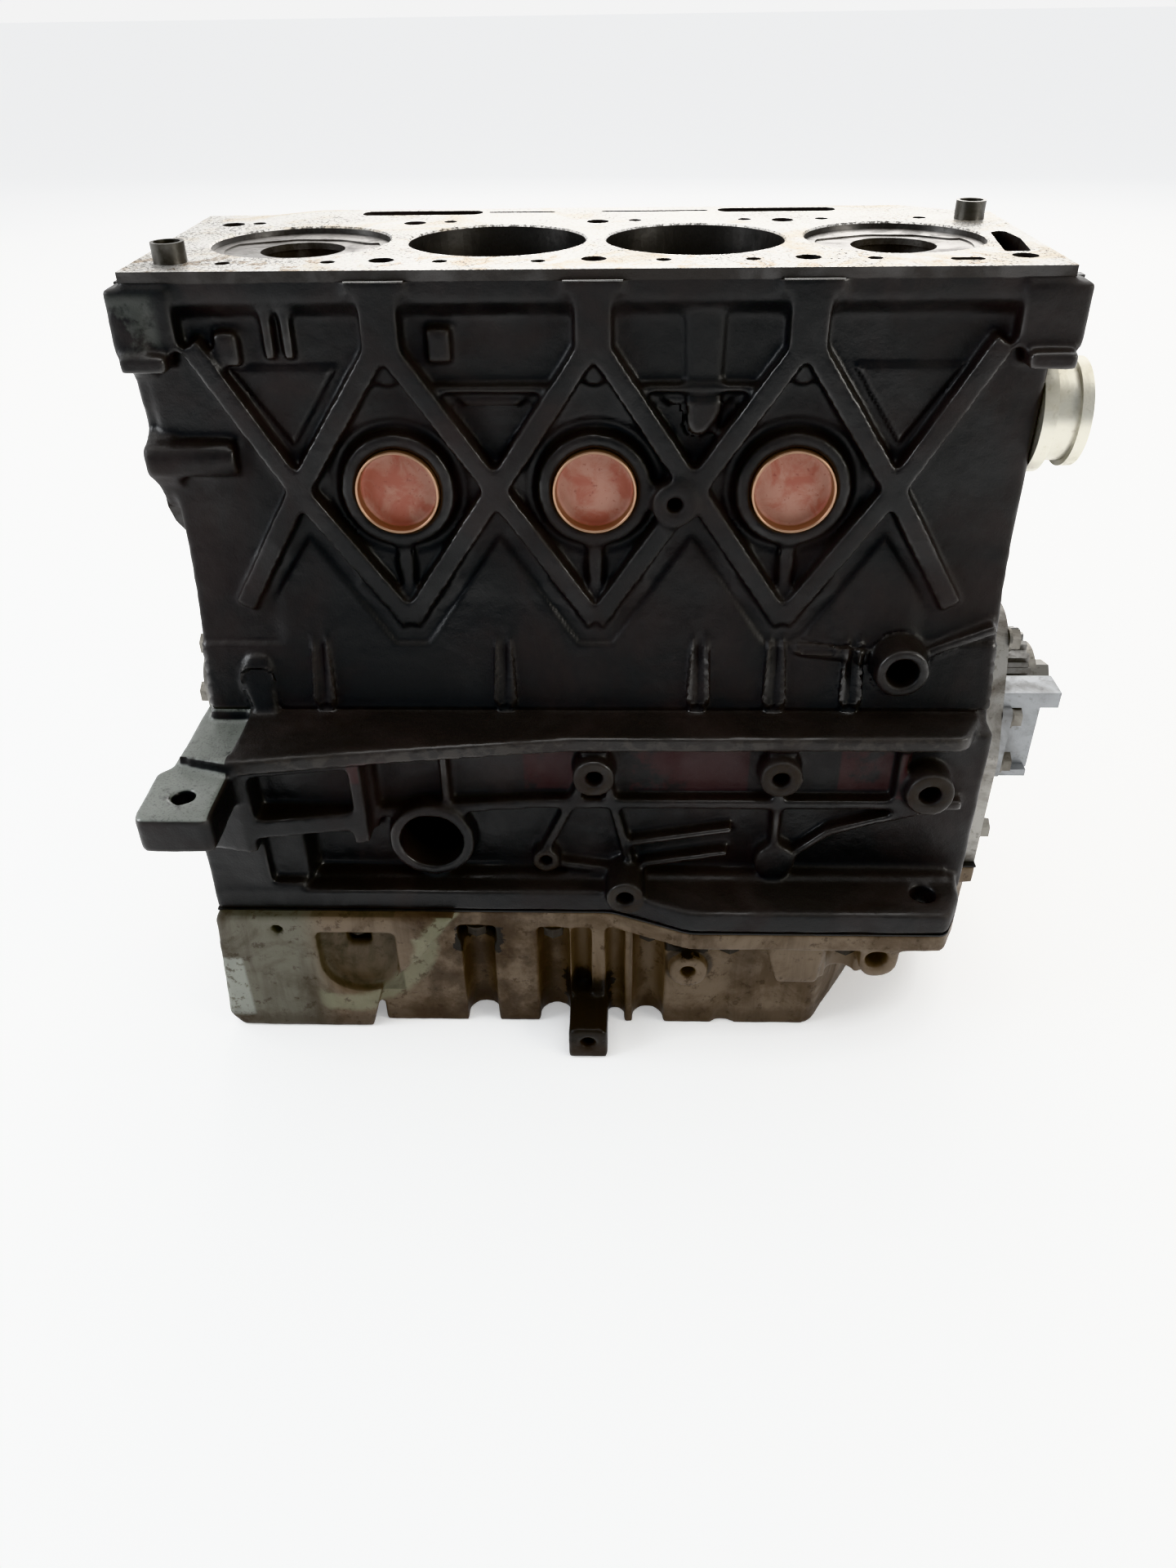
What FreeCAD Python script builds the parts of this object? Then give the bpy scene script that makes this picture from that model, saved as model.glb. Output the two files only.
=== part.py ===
import FreeCAD, Part
import math
import os

# Four-cylinder diesel bottom end. X runs along the crank with the flywheel end at -X,
# Y runs away from the ribbed side, Z is up. The origin is the middle of the head deck.
# Sizes are millimetres.

V = FreeCAD.Vector

# Cylinders and crank train
bore = 80.0
bore_pitch = 89.0
stroke = 93.0
rod_length = 139.0
compression_height = 41.9
piston_height = 62.0
piston_clearance = 0.15
crown_stand_down = 0.0
rest_angle = 18.0
gudgeon_diameter = 28.0
gudgeon_length = 66.0
main_journal = 54.8
crankpin = 48.0
shell_thickness = 2.0
shell_width = 20.0
bearing_clearance = 0.04
main_width = 27.0
pin_width = 28.0
counterweight_gap = 6.4
rod_bolt_span = 32.5
rod_bolt = 8.2
rod_cap_seat = 20.0
rod_half_width = 13.0
rod_bolt_depth = 12.0
ring_grooves = [(8.0, 3.0), (14.0, 2.0), (19.0, 3.0)]
groove_depth = 3.6
bowl_mouth = 19.0
bowl_depth = 13.0
skirt_thickness = 5.5
pin_bore = 15.0

# Block casting
deck_half_length = 193.0
deck_front = 68.0
deck_back = 69.0
deck_extension = 90.0
deck_thickness = 12.0
wall_plane = 61.0
wall_swell = 17.0
rib_plane = 70.0
jacket_wall = 6.0
jacket_depth = 118.0
barrel_wall = 6.5
barrel_over_crank = 81.4
head_bolt_rows = 47.0
head_bolt_bore = 10.8
head_bolt_depth = 72.0
shelf_height = 26.4
shelf_reach = 104.0
skirt_plane = 100.0
skirt_wall = 8.0
rail_drop = 75.6
rail_height = 13.0
bulkhead = 23.0
cap_half_width = 46.0
cap_depth = 44.0
main_bolt_edge = 11.0
main_bolt = 11.0
main_cap_seat = 26.0
main_thread_depth = 52.0
flange_stand = 7.0
flange_thickness = 13.0
plug_diameter = 38.0
plug_level = 93.0
plug_depth = 9.0
plug_sheet = 1.6
dowel_outer = 14.0
dowel_shank = 14.4
dowel_inner = 11.0
dowel_stand = 8.0
dowel_depth = 9.0
wall_boss = (36, -98)
upper_port = (146, 25)
upper_port_bore = 15.0
side_port = (-84, -36.6)
side_port_bore = 32.0
side_port_depth = 32.5
side_port_stand = 4.0
lug_hole = (-188, -142)
filter_pad = (-70, -160)
filter_thread = 22.0
filter_depth = 22.0
bracket_thread = 8.4
bracket_thread_depth = 14.5
bracket_boss_stand = 26.0
back_bosses = [(40, -150), (40, -186), (110, -150), (110, -186)]
back_low_bosses = [(-160, -12.6), (160, -12.6)]
# Across, up from the crank, radius of the boss and of its hole, how far it stands out, depth of the hole
side_bosses = [(-0.7, 4.4, 10.5, 4.2, 7, 17), (90.4, 4.4, 10.5, 4.2, 7, 17), (163, -3.6, 12, 5.2, 8, 19.5),
               (15, -62.4, 10, 4.2, 18, 28.5), (-26, -50.1, 7, 3.4, 3, 12.5)]
deck_coolant = [(-155, -51), (-111, -50), (-166, 50), (-64, -50), (-23, -51), (29, -50), (66, -50), (116, -50),
                (-72, 50), (18, 50), (71, 50), (108, 50), (155, 50)]
coolant_hole = 6.4
deck_slots = [(-120, -59, 71, 84), (60, 119, 73, 85), (-56, -22, 76, 80), (1, 55, 76, 80)]
jet_row = 47.0
jet_reach = 4.0

# Ribs on the side wall
rib_width = 9.5
diamond_top = 27.5
diamond_bottom = 156.5
strip_width = 16.5

# Sump
gasket = 1.0
sump_depth = 82.0
sump_wall = 5.0
sump_flange = 11.0
sump_front = 116.0
shallow_depth = 39.0
sump_back = 107.0
sump_bolt_places = [(-128, -106), (-64, -106), (-23, -107), (28, -109), (70, -118), (130, -118)]
sump_bolt = 7.0
sump_bolt_head = 10.0
flute_width = 17.0
foot_hole = (168, -110)
foot_bore = 13.0
drain_bore = 14.0
sump_boss = (49, 45)
sump_low_boss = (-4.5, 11)
sump_low_stand = 23.0
sump_low_depth = 19.5
sump_ear = (145.5, 18)
sump_ear_front = 127.0
sump_ear_depth = 16.0
drain_height = 16.0

# Timing end
cover_thickness = 14.0
cover_half = 68.0
sprocket_radius = 30.0
sprocket_width = 24.0
sprocket_teeth = 22
nose_diameter = 30.0
carrier_half = 62.0
carrier_thickness = 9.0
crank_flange = 80.0
chain_sprocket = 22.0
pump_sprocket_radius = 19.0
pump_drop = 77.6
running_gap = 0.3
cover_bolt_offsets = [(-59, -58.6), (-42, 47.4), (42, 47.4), (60, -18.6), (59, -58.6)]
bracket_bolt_offsets = [(-54, 9.4), (-54, -18.6)]
cover_bolt = 7.0
seal_outer = 24.0
bracket_foot = 5.0
bracket_reach = 29.0
crank_bolt = 14.0
drive_teeth = 20
pump_teeth = 17
chain_width = 5.0
chain_height = 3.2
chain_tooth = 2.4
pump_shaft = 12.0
pump_cover_centre = (-40, -66)

# Flywheel end
carrier_bolt_offsets = [(-53, 22.4), (-54, -34.6), (53, 22.4), (54, -34.6), (-40, 43.4), (40, 43.4)]
carrier_bolt = 6.0
flange_bolts_upper = [(-62, -78), (56, -78)]
flange_bolt_offsets = [(-100, 5.4), (-100, -64.6), (100, 5.4), (100, -64.6)]
flange_hole = 10.4
flywheel_bolts = 7
flywheel_circle = 60.0
flywheel_thread = 9.2
flywheel_thread_depth = 12.0
pilot_bore = 35.0
pilot_depth = 11.0
flywheel_seat = 6.0

# Worked out from the sizes above
crank_z = -(stroke / 2 + rod_length + compression_height + crown_stand_down)
throw = stroke / 2
cylinder_x = [bore_pitch * (i - 1.5) for i in range(4)]
main_x = [bore_pitch * (i - 2) for i in range(5)]
throw_phase = [0, 180, 180, 0]
web_width = (bore_pitch - main_width - pin_width) / 2
rod_tilt_ratio = math.degrees(math.asin(throw * math.sin(math.radians(rest_angle)) / rod_length)) / rest_angle
bore_bottom = -crank_z - barrel_over_crank
# The counterweights clear the lowest piston skirt and the crankcase walls
counterweight_radius = min(rod_length - throw - (piston_height - compression_height),
                           skirt_plane - 8 - skirt_wall) - counterweight_gap
main_bolt_span = cap_half_width - main_bolt_edge
timing_plane = deck_half_length
flange_plane = deck_half_length + flange_stand
shelf_level = -crank_z - shelf_height
rail_level = -crank_z + rail_drop
pump_level = -crank_z + pump_drop
sump_top = rail_level + gasket
sump_bottom = rail_level + sump_depth
shallow_bottom = rail_level + shallow_depth
dowel_places = [(main_x[0], -head_bolt_rows), (main_x[4], head_bolt_rows)]
cover_end = timing_plane + cover_thickness
sprocket_start = cover_end + 2.0
sprocket_end = sprocket_start + sprocket_width


def from_crank(places):
    """Gives places whose height is measured from the crank axis their height in the part."""
    return [(p[0], crank_z + p[1]) + tuple(p[2:]) for p in places]


cover_bolts = from_crank(cover_bolt_offsets)
bracket_bolts = from_crank(bracket_bolt_offsets)
carrier_bolts = from_crank(carrier_bolt_offsets)
flange_bolts = flange_bolts_upper + from_crank(flange_bolt_offsets)


def box(x0, x1, y0, y1, z0, z1):
    return Part.makeBox(x1 - x0, y1 - y0, z1 - z0, V(x0, y0, z0))


def cyl(radius, start, end):
    a, b = V(*start), V(*end)
    return Part.makeCylinder(radius, (b - a).Length, a, b - a)


def cone(radius_a, radius_b, start, end):
    a, b = V(*start), V(*end)
    return Part.makeCone(radius_a, radius_b, (b - a).Length, a, b - a)


def outline(points, radius=0.0):
    """Closed wire through points, each corner rounded by its own radius or the common one."""
    corners = [(V(*p[:3]), p[3] if len(p) > 3 else radius) for p in points]
    corners = [c for i, c in enumerate(corners) if (c[0] - corners[i - 1][0]).Length > 0.01]
    entries, exits, middles = [], [], []
    count = len(corners)
    for i, (corner, r) in enumerate(corners):
        to_last = (corners[i - 1][0] - corner).normalize()
        to_next = (corners[(i + 1) % count][0] - corner).normalize()
        half = to_last.getAngle(to_next) / 2
        if r <= 0 or half > math.pi / 2 - 0.01:
            entries.append(corner)
            exits.append(corner)
            middles.append(None)
            continue
        reach = r / math.tan(half)
        bisector = (to_last + to_next).normalize()
        entries.append(corner + to_last * reach)
        exits.append(corner + to_next * reach)
        middles.append(corner + bisector * (r / math.sin(half) - r))
    edges = []
    for i in range(count):
        if middles[i] is not None:
            edges.append(Part.Arc(entries[i], middles[i], exits[i]).toShape())
        following = entries[(i + 1) % count]
        if (following - exits[i]).Length > 1e-6:
            edges.append(Part.makeLine(exits[i], following))
    return Part.Wire(edges)


def prism(points, radius, push):
    return Part.Face(outline(points, radius)).extrude(V(*push))


def plan(points, z0, z1, radius=0.0):
    """Prism from (x, y) points between two heights."""
    return prism([(p[0], p[1], z0) + tuple(p[2:]) for p in points], radius, (0, 0, z1 - z0))


def front(points, y0, y1, radius=0.0):
    """Prism from (x, z) points between two depths."""
    return prism([(p[0], y0, p[1]) + tuple(p[2:]) for p in points], radius, (0, y1 - y0, 0))


def side(points, x0, x1, radius=0.0):
    """Prism from (y, z) points between two stations along the crank."""
    return prism([(x0, p[0], p[1]) + tuple(p[2:]) for p in points], radius, (x1 - x0, 0, 0))


def union(shapes):
    shapes = list(shapes)
    return shapes[0].multiFuse(shapes[1:]) if len(shapes) > 1 else shapes[0]


def strip(x0, z0, x1, z1, width, y0, y1):
    """Straight rib of one width along a line in the side wall."""
    dx, dz = x1 - x0, z1 - z0
    length = math.hypot(dx, dz)
    nx, nz = -dz / length * width / 2, dx / length * width / 2
    return front([(x0 + nx, z0 + nz), (x1 + nx, z1 + nz), (x1 - nx, z1 - nz), (x0 - nx, z0 - nz)], y0, y1)


def hexagon(across, start, push):
    a = V(*start)
    axis = V(*push)
    side_a = axis.cross(V(0.3, 0.5, 0.8)).normalize()
    side_b = axis.cross(side_a).normalize()
    r = across / math.sqrt(3)
    points = [a + side_a * (r * math.cos(math.pi / 3 * k)) + side_b * (r * math.sin(math.pi / 3 * k))
              for k in range(6)]
    return Part.Face(Part.makePolygon(points + [points[0]])).extrude(axis)


def bolt(shank, head, head_height, length, seat, direction):
    """Flanged hexagon bolt: seat is the centre under the head, direction points from it into the thread."""
    s, d = V(*seat), V(*direction).normalize()
    flange = Part.makeCylinder(head * 0.62, head_height * 0.25, s, d * -1)
    top = s - d * (head_height * 0.25)
    return union([Part.makeCylinder(shank / 2, length, s, d), flange,
                  hexagon(head, tuple(top), tuple(d * (-head_height * 0.75)))])


def clean(shape):
    shape = shape.removeSplitter()
    if len(shape.Solids) == 1:
        return shape.Solids[0]
    return Part.makeCompound(shape.Solids)


def deck_outline():
    h = deck_half_length
    return [(-h - 1, -deck_front), (h - 1, -deck_front), (h, deck_back), (177, 72), (153, deck_extension, 4),
            (-144, deck_extension, 4), (-166, 75), (-h - 5, 75)]


def wall_profile():
    """Section of the water jacket and upper crankcase, from the ribbed side round to the back."""
    w = wall_plane
    s = shelf_level
    swell = [(wall_swell, -s - 4), (wall_swell - 7, -s + 26), (wall_swell - 13, -s + 53), (0, -jacket_depth)]
    back = [(w + out, z) for out, z in swell]
    front_side = [(-y, z) for y, z in reversed(back)]
    return ([(-deck_front, 0), (-deck_front, -deck_thickness), (-w, -deck_thickness - 7)] + front_side + back +
            [(w, -deck_thickness - 7), (deck_back, -deck_thickness), (deck_back, 0)])


def lattice(reach, y0, y1, width):
    """Crossing diagonal ribs of the side wall, one diamond round each core plug."""
    low = -diamond_bottom
    top = -diamond_top
    bars = []
    for x in main_x[1:4]:
        for way in (-1, 1):
            bars.append(strip(x, top, x + way * bore_pitch / 2, (top + low) / 2, width, y0, y1))
            bars.append(strip(x, low, x + way * bore_pitch / 2, (top + low) / 2, width, y0, y1))
    for way in (-1, 1):
        crossing = way * bore_pitch * 1.5
        bars.append(strip(crossing, (top + low) / 2, way * reach, top - 1, width, y0, y1))
        bars.append(strip(crossing, (top + low) / 2, way * (reach - 2), low + 8, width, y0, y1))
    return bars


def pocket_forms(x, back):
    """What stands in one diamond: the plug's boss, the pointed rib under it and the pad over it."""
    tip = -diamond_bottom + 7.5
    pad = -diamond_top - 13.5
    proud = -wall_plane - 4
    return [cyl(plug_diameter / 2 + 7, (x, back, -plug_level), (x, -rib_plane + 3, -plug_level)),
            front([(x - 4, -plug_level - 20), (x + 4, -plug_level - 20), (x + 3, tip + 4), (x, tip), (x - 3, tip + 4)],
                  back, proud),
            cyl(6, (x, back, pad), (x, proud, pad)),
            box(x - 6, x + 6, proud, back, pad, -diamond_top - 2.5)]


def wall_boss_form():
    x, z = wall_boss
    return cyl(10.5, (x, -wall_plane + 6, z), (x, -rib_plane - 2, z))


def ribbed_wall():
    """Everything that stands proud of the side wall panel."""
    back = -wall_plane + 6
    ribs = lattice(deck_half_length - 23, back, -rib_plane, rib_width) + [wall_boss_form()]
    for x in main_x[1:4]:
        ribs.append(box(x - strip_width / 2, x + strip_width / 2, -rib_plane, back, -diamond_top - 8, -4))
        ribs.append(box(x - 12.5, x + 12.5, -rib_plane, back, -9, -4))
        ribs += pocket_forms(x, back)
        # Each rib pair meets below in a wider root that curves out of the wall
        ribs.append(front([(x - 30, -diamond_bottom + 25), (x + 30, -diamond_bottom + 25), (x + 5, -diamond_bottom - 12),
                           (x - 5, -diamond_bottom - 12)], back, -wall_plane - 4, 7))
    for x in (-bore_pitch / 2, bore_pitch / 2):
        ribs.append(box(x - 23, x + 23, -wall_plane - 5, back, -50, -46.5))
    for x, z in ((-155, -24), (-65, -23)):
        ribs.append(box(x - 5, x + 5, -wall_plane - 6, back, z - 14, z))
    for x in (-137, -129):
        ribs.append(front([(x - 2.5, -14), (x + 2.5, -14), (x + 2, -35), (x - 2, -35)], back, -wall_plane - 5))
    ribs.append(front([(38, -6), (55, -6), (54, -68), (41, -68)], back, -wall_plane - 3, 2))
    return ribs


def crankcase_ribs():
    """Tapered upright ribs between the diamonds and the shelf, and the swelling at the flywheel end."""
    shapes = []
    for x in (-134, -44.5, 50, 87, 124):
        rib = side([(-wall_plane + 8, -diamond_bottom - 2.5), (-wall_plane - 6, -diamond_bottom - 3.5),
                    (-wall_plane - wall_swell - 3, -shelf_level - 2), (-wall_plane + 8, -shelf_level - 2)],
                   x - 3, x + 3)
        shapes.append(rib)
    # Leaf-shaped swelling beside the flywheel flange
    leaf = front([(-161, -diamond_bottom - 4, 6), (-176, -shelf_level + 18, 14), (-170, -shelf_level + 1, 6),
                  (-158, -shelf_level - 2, 3)], -wall_plane, -shelf_reach)
    shapes.append(leaf.common(side([(-wall_plane + 8, -diamond_bottom), (-wall_plane - 7, -diamond_bottom - 2),
                                    (-wall_plane - wall_swell - 5, -shelf_level - 2),
                                    (-wall_plane + 8, -shelf_level - 2)], -180, -150)))
    return shapes


def shelf_outline():
    r = shelf_reach
    return [(-flange_plane, -40), (-flange_plane, -118), (-172, -126, 6), (-107, -116, 30), (-11, -r, 30),
            (178, -r + 1, 10), (187, -84, 8), (190, -40)]


def skirt_ribs():
    """Ribs on the lower crankcase wall, drawn on the wall as lines of one width."""
    inner = -skirt_plane + 14
    outer = -skirt_plane
    lines = [(-160, -25.6, -30, -15.6, 6), (-30, -15.6, 182, -15.6, 6), (-7, -4.6, -27, -46.6, 4.5),
             (6, -4.6, 18, -56.6, 4.5), (-24, -53.6, 14, -59.6, 4), (91, -8.6, 91, -40.6, 4.5),
             (17, -40.6, 69, -31.6, 3.5), (24, -54.6, 68, -46.6, 3.5), (100, -48.6, 118, -32.6, 4),
             (118, -32.6, 140, -25.6, 4), (140, -25.6, 162, -19.6, 4), (-113, 23.4, -113, -30.6, 5),
             (-75, 23.4, -75, -18.6, 4), (-0.7, 23.4, -0.7, 15.4, 14), (91, 23.4, 91, 13.4, 14),
             (150, 23.4, 150, -18.6, 5), (-170, -62.6, 182, -62.6, 4)]
    ribs = [strip(x0, crank_z + z0, x1, crank_z + z1, w, inner, outer) for x0, z0, x1, z1, w in lines]
    low = crank_z - 50.6
    ribs.append(cyl(10.5, (92, inner, low), (92, outer - 2, low)))
    return ribs


def rail_outline(end=timing_plane):
    """Bottom flange of the skirt, shared with the gasket and the sump."""
    return [(-flange_plane, -112), (8, -112, 20), (48, -128, 20), (178, -128, 6), (186, -112, 6), (190, -84),
            (timing_plane, -72), (end, -72), (end, 112), (-flange_plane, 112)]


def flange_outline():
    """Flywheel end face: the ribbed side's edge as the casting shows it, the back with the same character."""
    front_edge = [(-71, -14), (-74, -30), (-60, -45), (-58, -66), (-70, -73), (-70, -84), (-62, -92),
                  (-50, -113), (-34, -128)] + from_crank([(-31, 47.4, 12), (-44, 23.4, 8), (-118, 21.4),
                                                          (-118, -6.6), (-110, -34.6, 10), (-112, -rail_drop)])
    back_edge = from_crank([(112, -rail_drop), (112, -4.6), (96, 21.4, 12), (52, 31.4, 12)])
    back_edge += [(44, -130, 16), (66, -100), (66, -30), (70, -14)]
    return front_edge + back_edge


def ears():
    """Corner ears under the deck on the ribbed side, each with a second flange below it."""
    shapes = []
    for way in (-1, 1):
        a, b = sorted((way * 174, way * (flange_plane + 1)))
        shapes.append(box(a, b, -70.5, -50, -31, -6))
        c, d = sorted((way * 178, way * (flange_plane - 2)))
        shapes.append(box(c, d, -77, -50, -38, -31))
    return shapes


def mounting_lug():
    """Heavy ear that reaches out beside the flywheel flange."""
    f = flange_plane
    top = plan([(-f, -38), (-f, -118), (-f - 6, -124), (-f - 6, -160, 4), (-171, -160, 4), (-171, -126),
                (-160, -110), (-160, -38)], crank_z - 5.6, crank_z + 27.4)
    slope = side(from_crank([(-30, 29.4), (-30, 25.4), (-60, 21.4), (-170, 18.4), (-170, 29.4)]), -f - 20, -150)
    under = side(from_crank([(-170, -10.6), (-170, -0.6), (-120, 1.4), (-112, -10.6)]), -f - 20, -150)
    return top.cut(slope).cut(under)


def water_jacket():
    """Cooling space round the four joined barrels."""
    y = wall_plane - jacket_wall
    space = plan([(-181, -y), (181, -y), (181, y), (-181, y)], -jacket_depth, -deck_thickness + 2, 12)
    barrels = [cyl(bore / 2 + barrel_wall, (x, 0, -jacket_depth - 2), (x, 0, 0)) for x in cylinder_x]
    webs = [box(x - 5, x + 5, -30, 30, -jacket_depth - 2, 0) for x in main_x[1:4]]
    columns = []
    for x in main_x:
        for row in (-head_bolt_rows, head_bolt_rows):
            columns.append(cyl(9.5, (x, row, -head_bolt_depth - 12), (x, row, 0)))
            step = 12 if row > 0 else -12
            columns.append(box(x - 9.5, x + 9.5, min(row, row + step), max(row, row + step),
                               -head_bolt_depth - 12, 0))
    return space.cut(union(barrels + webs + columns))


def crank_bays():
    """Space for each throw between the bearing walls, open at the bottom."""
    bays = []
    w = wall_plane + wall_swell - 8
    s = skirt_plane - 8 - skirt_wall
    waist = -shelf_level + 29
    profile = [(-s, -rail_level - 1), (-s, -shelf_level - 8, 10), (-w - 4, -shelf_level - 2, 6), (-w + 8, waist, 10),
               (-56, -bore_bottom, 6), (56, -bore_bottom, 6), (w - 8, waist, 10), (w + 4, -shelf_level - 2, 6),
               (s, -shelf_level - 8, 10), (s, -rail_level - 1)]
    for left, right in zip(main_x[:-1], main_x[1:]):
        bays.append(side(profile, left + bulkhead / 2, right - bulkhead / 2))
    return bays


def bulkhead_windows():
    """The bearing walls stop short of the rail, beside the caps."""
    s = skirt_plane - 8 - skirt_wall
    cuts = []
    for x in main_x[1:4]:
        arch, shoulder = crank_z - 34.6, crank_z - 16.6
        cuts.append(side([(-s, -rail_level - 1), (-s, arch, 8), (-cap_half_width - 14, shoulder, 10),
                          (-cap_half_width, crank_z), (cap_half_width, crank_z), (cap_half_width + 14, shoulder, 10),
                          (s, arch, 8), (s, -rail_level - 1)], x - bulkhead / 2 - 1, x + bulkhead / 2 + 1))
    for x in (main_x[0], main_x[4]):
        cuts.append(side([(-cap_half_width, -rail_level - 1), (-cap_half_width, crank_z),
                          (cap_half_width, crank_z), (cap_half_width, -rail_level - 1)],
                         x - bulkhead / 2 - 12, x + bulkhead / 2 + 12))
    return cuts


def deck_holes():
    """Bolt, coolant, oil and drain openings in the head deck."""
    cuts = []
    for x in main_x:
        for row in (-head_bolt_rows, head_bolt_rows):
            cuts.append(cyl(head_bolt_bore / 2, (x, row, -head_bolt_depth), (x, row, 1)))
    for x, y in dowel_places:
        cuts.append(cyl(dowel_shank / 2, (x, y, -dowel_depth), (x, y, 1)))
    for x, y in deck_coolant:
        cuts.append(cyl(coolant_hole / 2, (x, y, -deck_thickness - 1), (x, y, 1)))
    for x0, x1, y0, y1 in deck_slots:
        cuts.append(plan([(x0, y0), (x1, y0), (x1, y1), (x0, y1)], -deck_thickness - 60, 1, (y1 - y0) * 0.42))
    cuts.append(plan([(146, -56), (160, -56), (160, -50), (146, -50)], -deck_thickness - 1, 1, 2.5))
    cuts.append(plan([(172, -38, 2), (183, -38, 2), (187, -8, 8), (185, 14, 3), (178, 8, 4)], -8, 1))
    return cuts


def cylinder_block():
    h = deck_half_length
    t = timing_plane
    upper = side(wall_profile(), -h, t)
    deck = plan(deck_outline(), -deck_thickness, 0)
    extension = plan([(-140, 40), (150, 40), (146, deck_extension - 4, 8), (-136, deck_extension - 4, 8)], -96, -2)
    foot = side([(40, -90), (deck_extension - 4, -90), (wall_plane, -128), (40, -128)], -136, 146)
    s = skirt_plane - 8
    skirt = side([(-s, -shelf_level - 4), (-s, -rail_level), (s, -rail_level), (s, -shelf_level - 4)], -h, t)
    shelf = plan(shelf_outline() + [(t - 3, 40), (t - 7, skirt_plane, 8), (-h, skirt_plane), (-flange_plane, 60)],
                 -shelf_level - 8, -shelf_level)
    shoulder = plan([(-flange_plane, -60), (-flange_plane, -116), (-172, -122, 6), (-113, -113), (-113, -60)],
                    crank_z - 30.6, -shelf_level - 7)
    lower_shoulder = plan([(-flange_plane, -60), (-flange_plane, -111), (-152, -111, 4), (-146, -92)],
                          -rail_level, crank_z - 22.6)
    rail = plan(rail_outline(), -rail_level, -rail_level + rail_height)
    flange = side(flange_outline(), -flange_plane, -flange_plane + flange_thickness)
    y, z = flange_bolts_upper[0]
    boss = cyl(8, (-flange_plane + 1, y - 4, z), (-160, y, z))
    extras = ears() + [mounting_lug(), boss] + ribbed_wall() + crankcase_ribs() + skirt_ribs()
    for x, z, r, hole, stand, depth in from_crank(side_bosses):
        extras.append(cyl(r, (x, -skirt_plane + 20, z), (x, -skirt_plane - stand, z)))
    port_x, port_z = upper_port[0], -shelf_level + upper_port[1]
    extras.append(cone(15, 12.5, (port_x, -wall_plane, port_z), (port_x, -wall_plane - 25, port_z)))
    extras.append(strip(port_x - 50, port_z + 8, port_x - 6, port_z + 2, 5, -wall_plane + 6, -wall_plane - 12))
    extras.append(strip(port_x + 6, port_z + 2, t - 3, port_z + 18, 5, -wall_plane + 6, -wall_plane - 14))
    low_x, low_z = from_crank([side_port])[0]
    port_face = -skirt_plane - side_port_stand
    extras.append(cyl(side_port_bore / 2 + 6, (low_x, -skirt_plane + 20, low_z), (low_x, port_face, low_z)))
    # The back has the same ribs in plainer form, a filter pad and two bracket bosses
    for x in main_x:
        extras.append(box(x - 5, x + 5, wall_plane - 6, wall_plane + 7, -shelf_level - 2, -90))
    filter_x, filter_z = filter_pad
    extras.append(cyl(36, (filter_x, wall_plane - 4, filter_z), (filter_x, deck_extension - 2, filter_z)))
    for x, z in back_bosses:
        extras.append(cyl(9, (x, wall_plane - 4, z), (x, wall_plane + bracket_boss_stand, z)))
    for x, z in from_crank(back_low_bosses):
        extras.append(cyl(9, (x, s - 12, z), (x, s + 12, z)))
    for x in (-100, -10, 80):
        extras.append(box(x - 4, x + 4, s - 8, skirt_plane, -rail_level, -shelf_level))
    casting = union([upper, deck, extension, foot, skirt, shelf, shoulder, lower_shoulder, rail, flange] + extras)

    cuts = [water_jacket()] + crank_bays() + bulkhead_windows() + deck_holes()
    for x in cylinder_x:
        cuts.append(cyl(bore / 2, (x, 0, -bore_bottom - 1), (x, 0, 1)))
        cuts.append(cone(bore / 2 + 0.8, bore / 2, (x, 0, 0), (x, 0, -0.8)))
    for x in main_x:
        cuts.append(cyl(main_journal / 2 + shell_thickness, (x - bulkhead, 0, crank_z), (x + bulkhead, 0, crank_z)))
        for way in (-1, 1):
            cuts.append(cyl(main_bolt / 2 - 0.6, (x, way * main_bolt_span, crank_z - 1),
                            (x, way * main_bolt_span, crank_z + main_thread_depth)))
    # Panels of the ribbed wall between the ribs
    inner_w = bore_pitch / 2 - rib_width / 2 * 1.215
    inner_h = (diamond_bottom - diamond_top) / 2 - rib_width / 2 * 1.76
    middle = -(diamond_top + diamond_bottom) / 2
    for x in main_x[1:4]:
        pocket = front([(x, middle + inner_h), (x + inner_w, middle), (x, middle - inner_h), (x - inner_w, middle)],
                       -wall_plane, -rib_plane - 30, 5)
        cuts.append(pocket.cut(union(pocket_forms(x, -wall_plane + 1) + [wall_boss_form()])))
        cuts.append(cyl(plug_diameter / 2, (x, -wall_plane - 20, -plug_level), (x, -wall_plane + 8, -plug_level)))
    for x in (-bore_pitch / 2, bore_pitch / 2):
        cuts.append(front([(x - 22, -54), (x + 22, -54), (x, -86)], -wall_plane - 0.5, -wall_plane + 2, 4))
    for x, z, r, hole, stand, depth in from_crank(side_bosses):
        face = -skirt_plane - stand
        cuts.append(cyl(hole, (x, face - 1, z), (x, face + depth, z)))
    cuts.append(cyl(3.6, (wall_boss[0], -rib_plane - 3, wall_boss[1]), (wall_boss[0], -wall_plane + 2, wall_boss[1])))
    cuts.append(cyl(upper_port_bore / 2, (port_x, -wall_plane - 29, port_z), (port_x, -wall_plane + 11, port_z)))
    cuts.append(cyl(side_port_bore / 2, (low_x, port_face - 8, low_z), (low_x, port_face + side_port_depth, low_z)))
    cuts.append(cyl(foot_bore / 2, foot_hole + (-rail_level - 1,), foot_hole + (-rail_level + rail_height + 1,)))
    pad_face = deck_extension - 2
    cuts.append(cyl(filter_thread / 2, (filter_x, pad_face - filter_depth, filter_z),
                    (filter_x, pad_face + 2, filter_z)))
    for x, z in back_bosses:
        face = wall_plane + bracket_boss_stand
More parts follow.
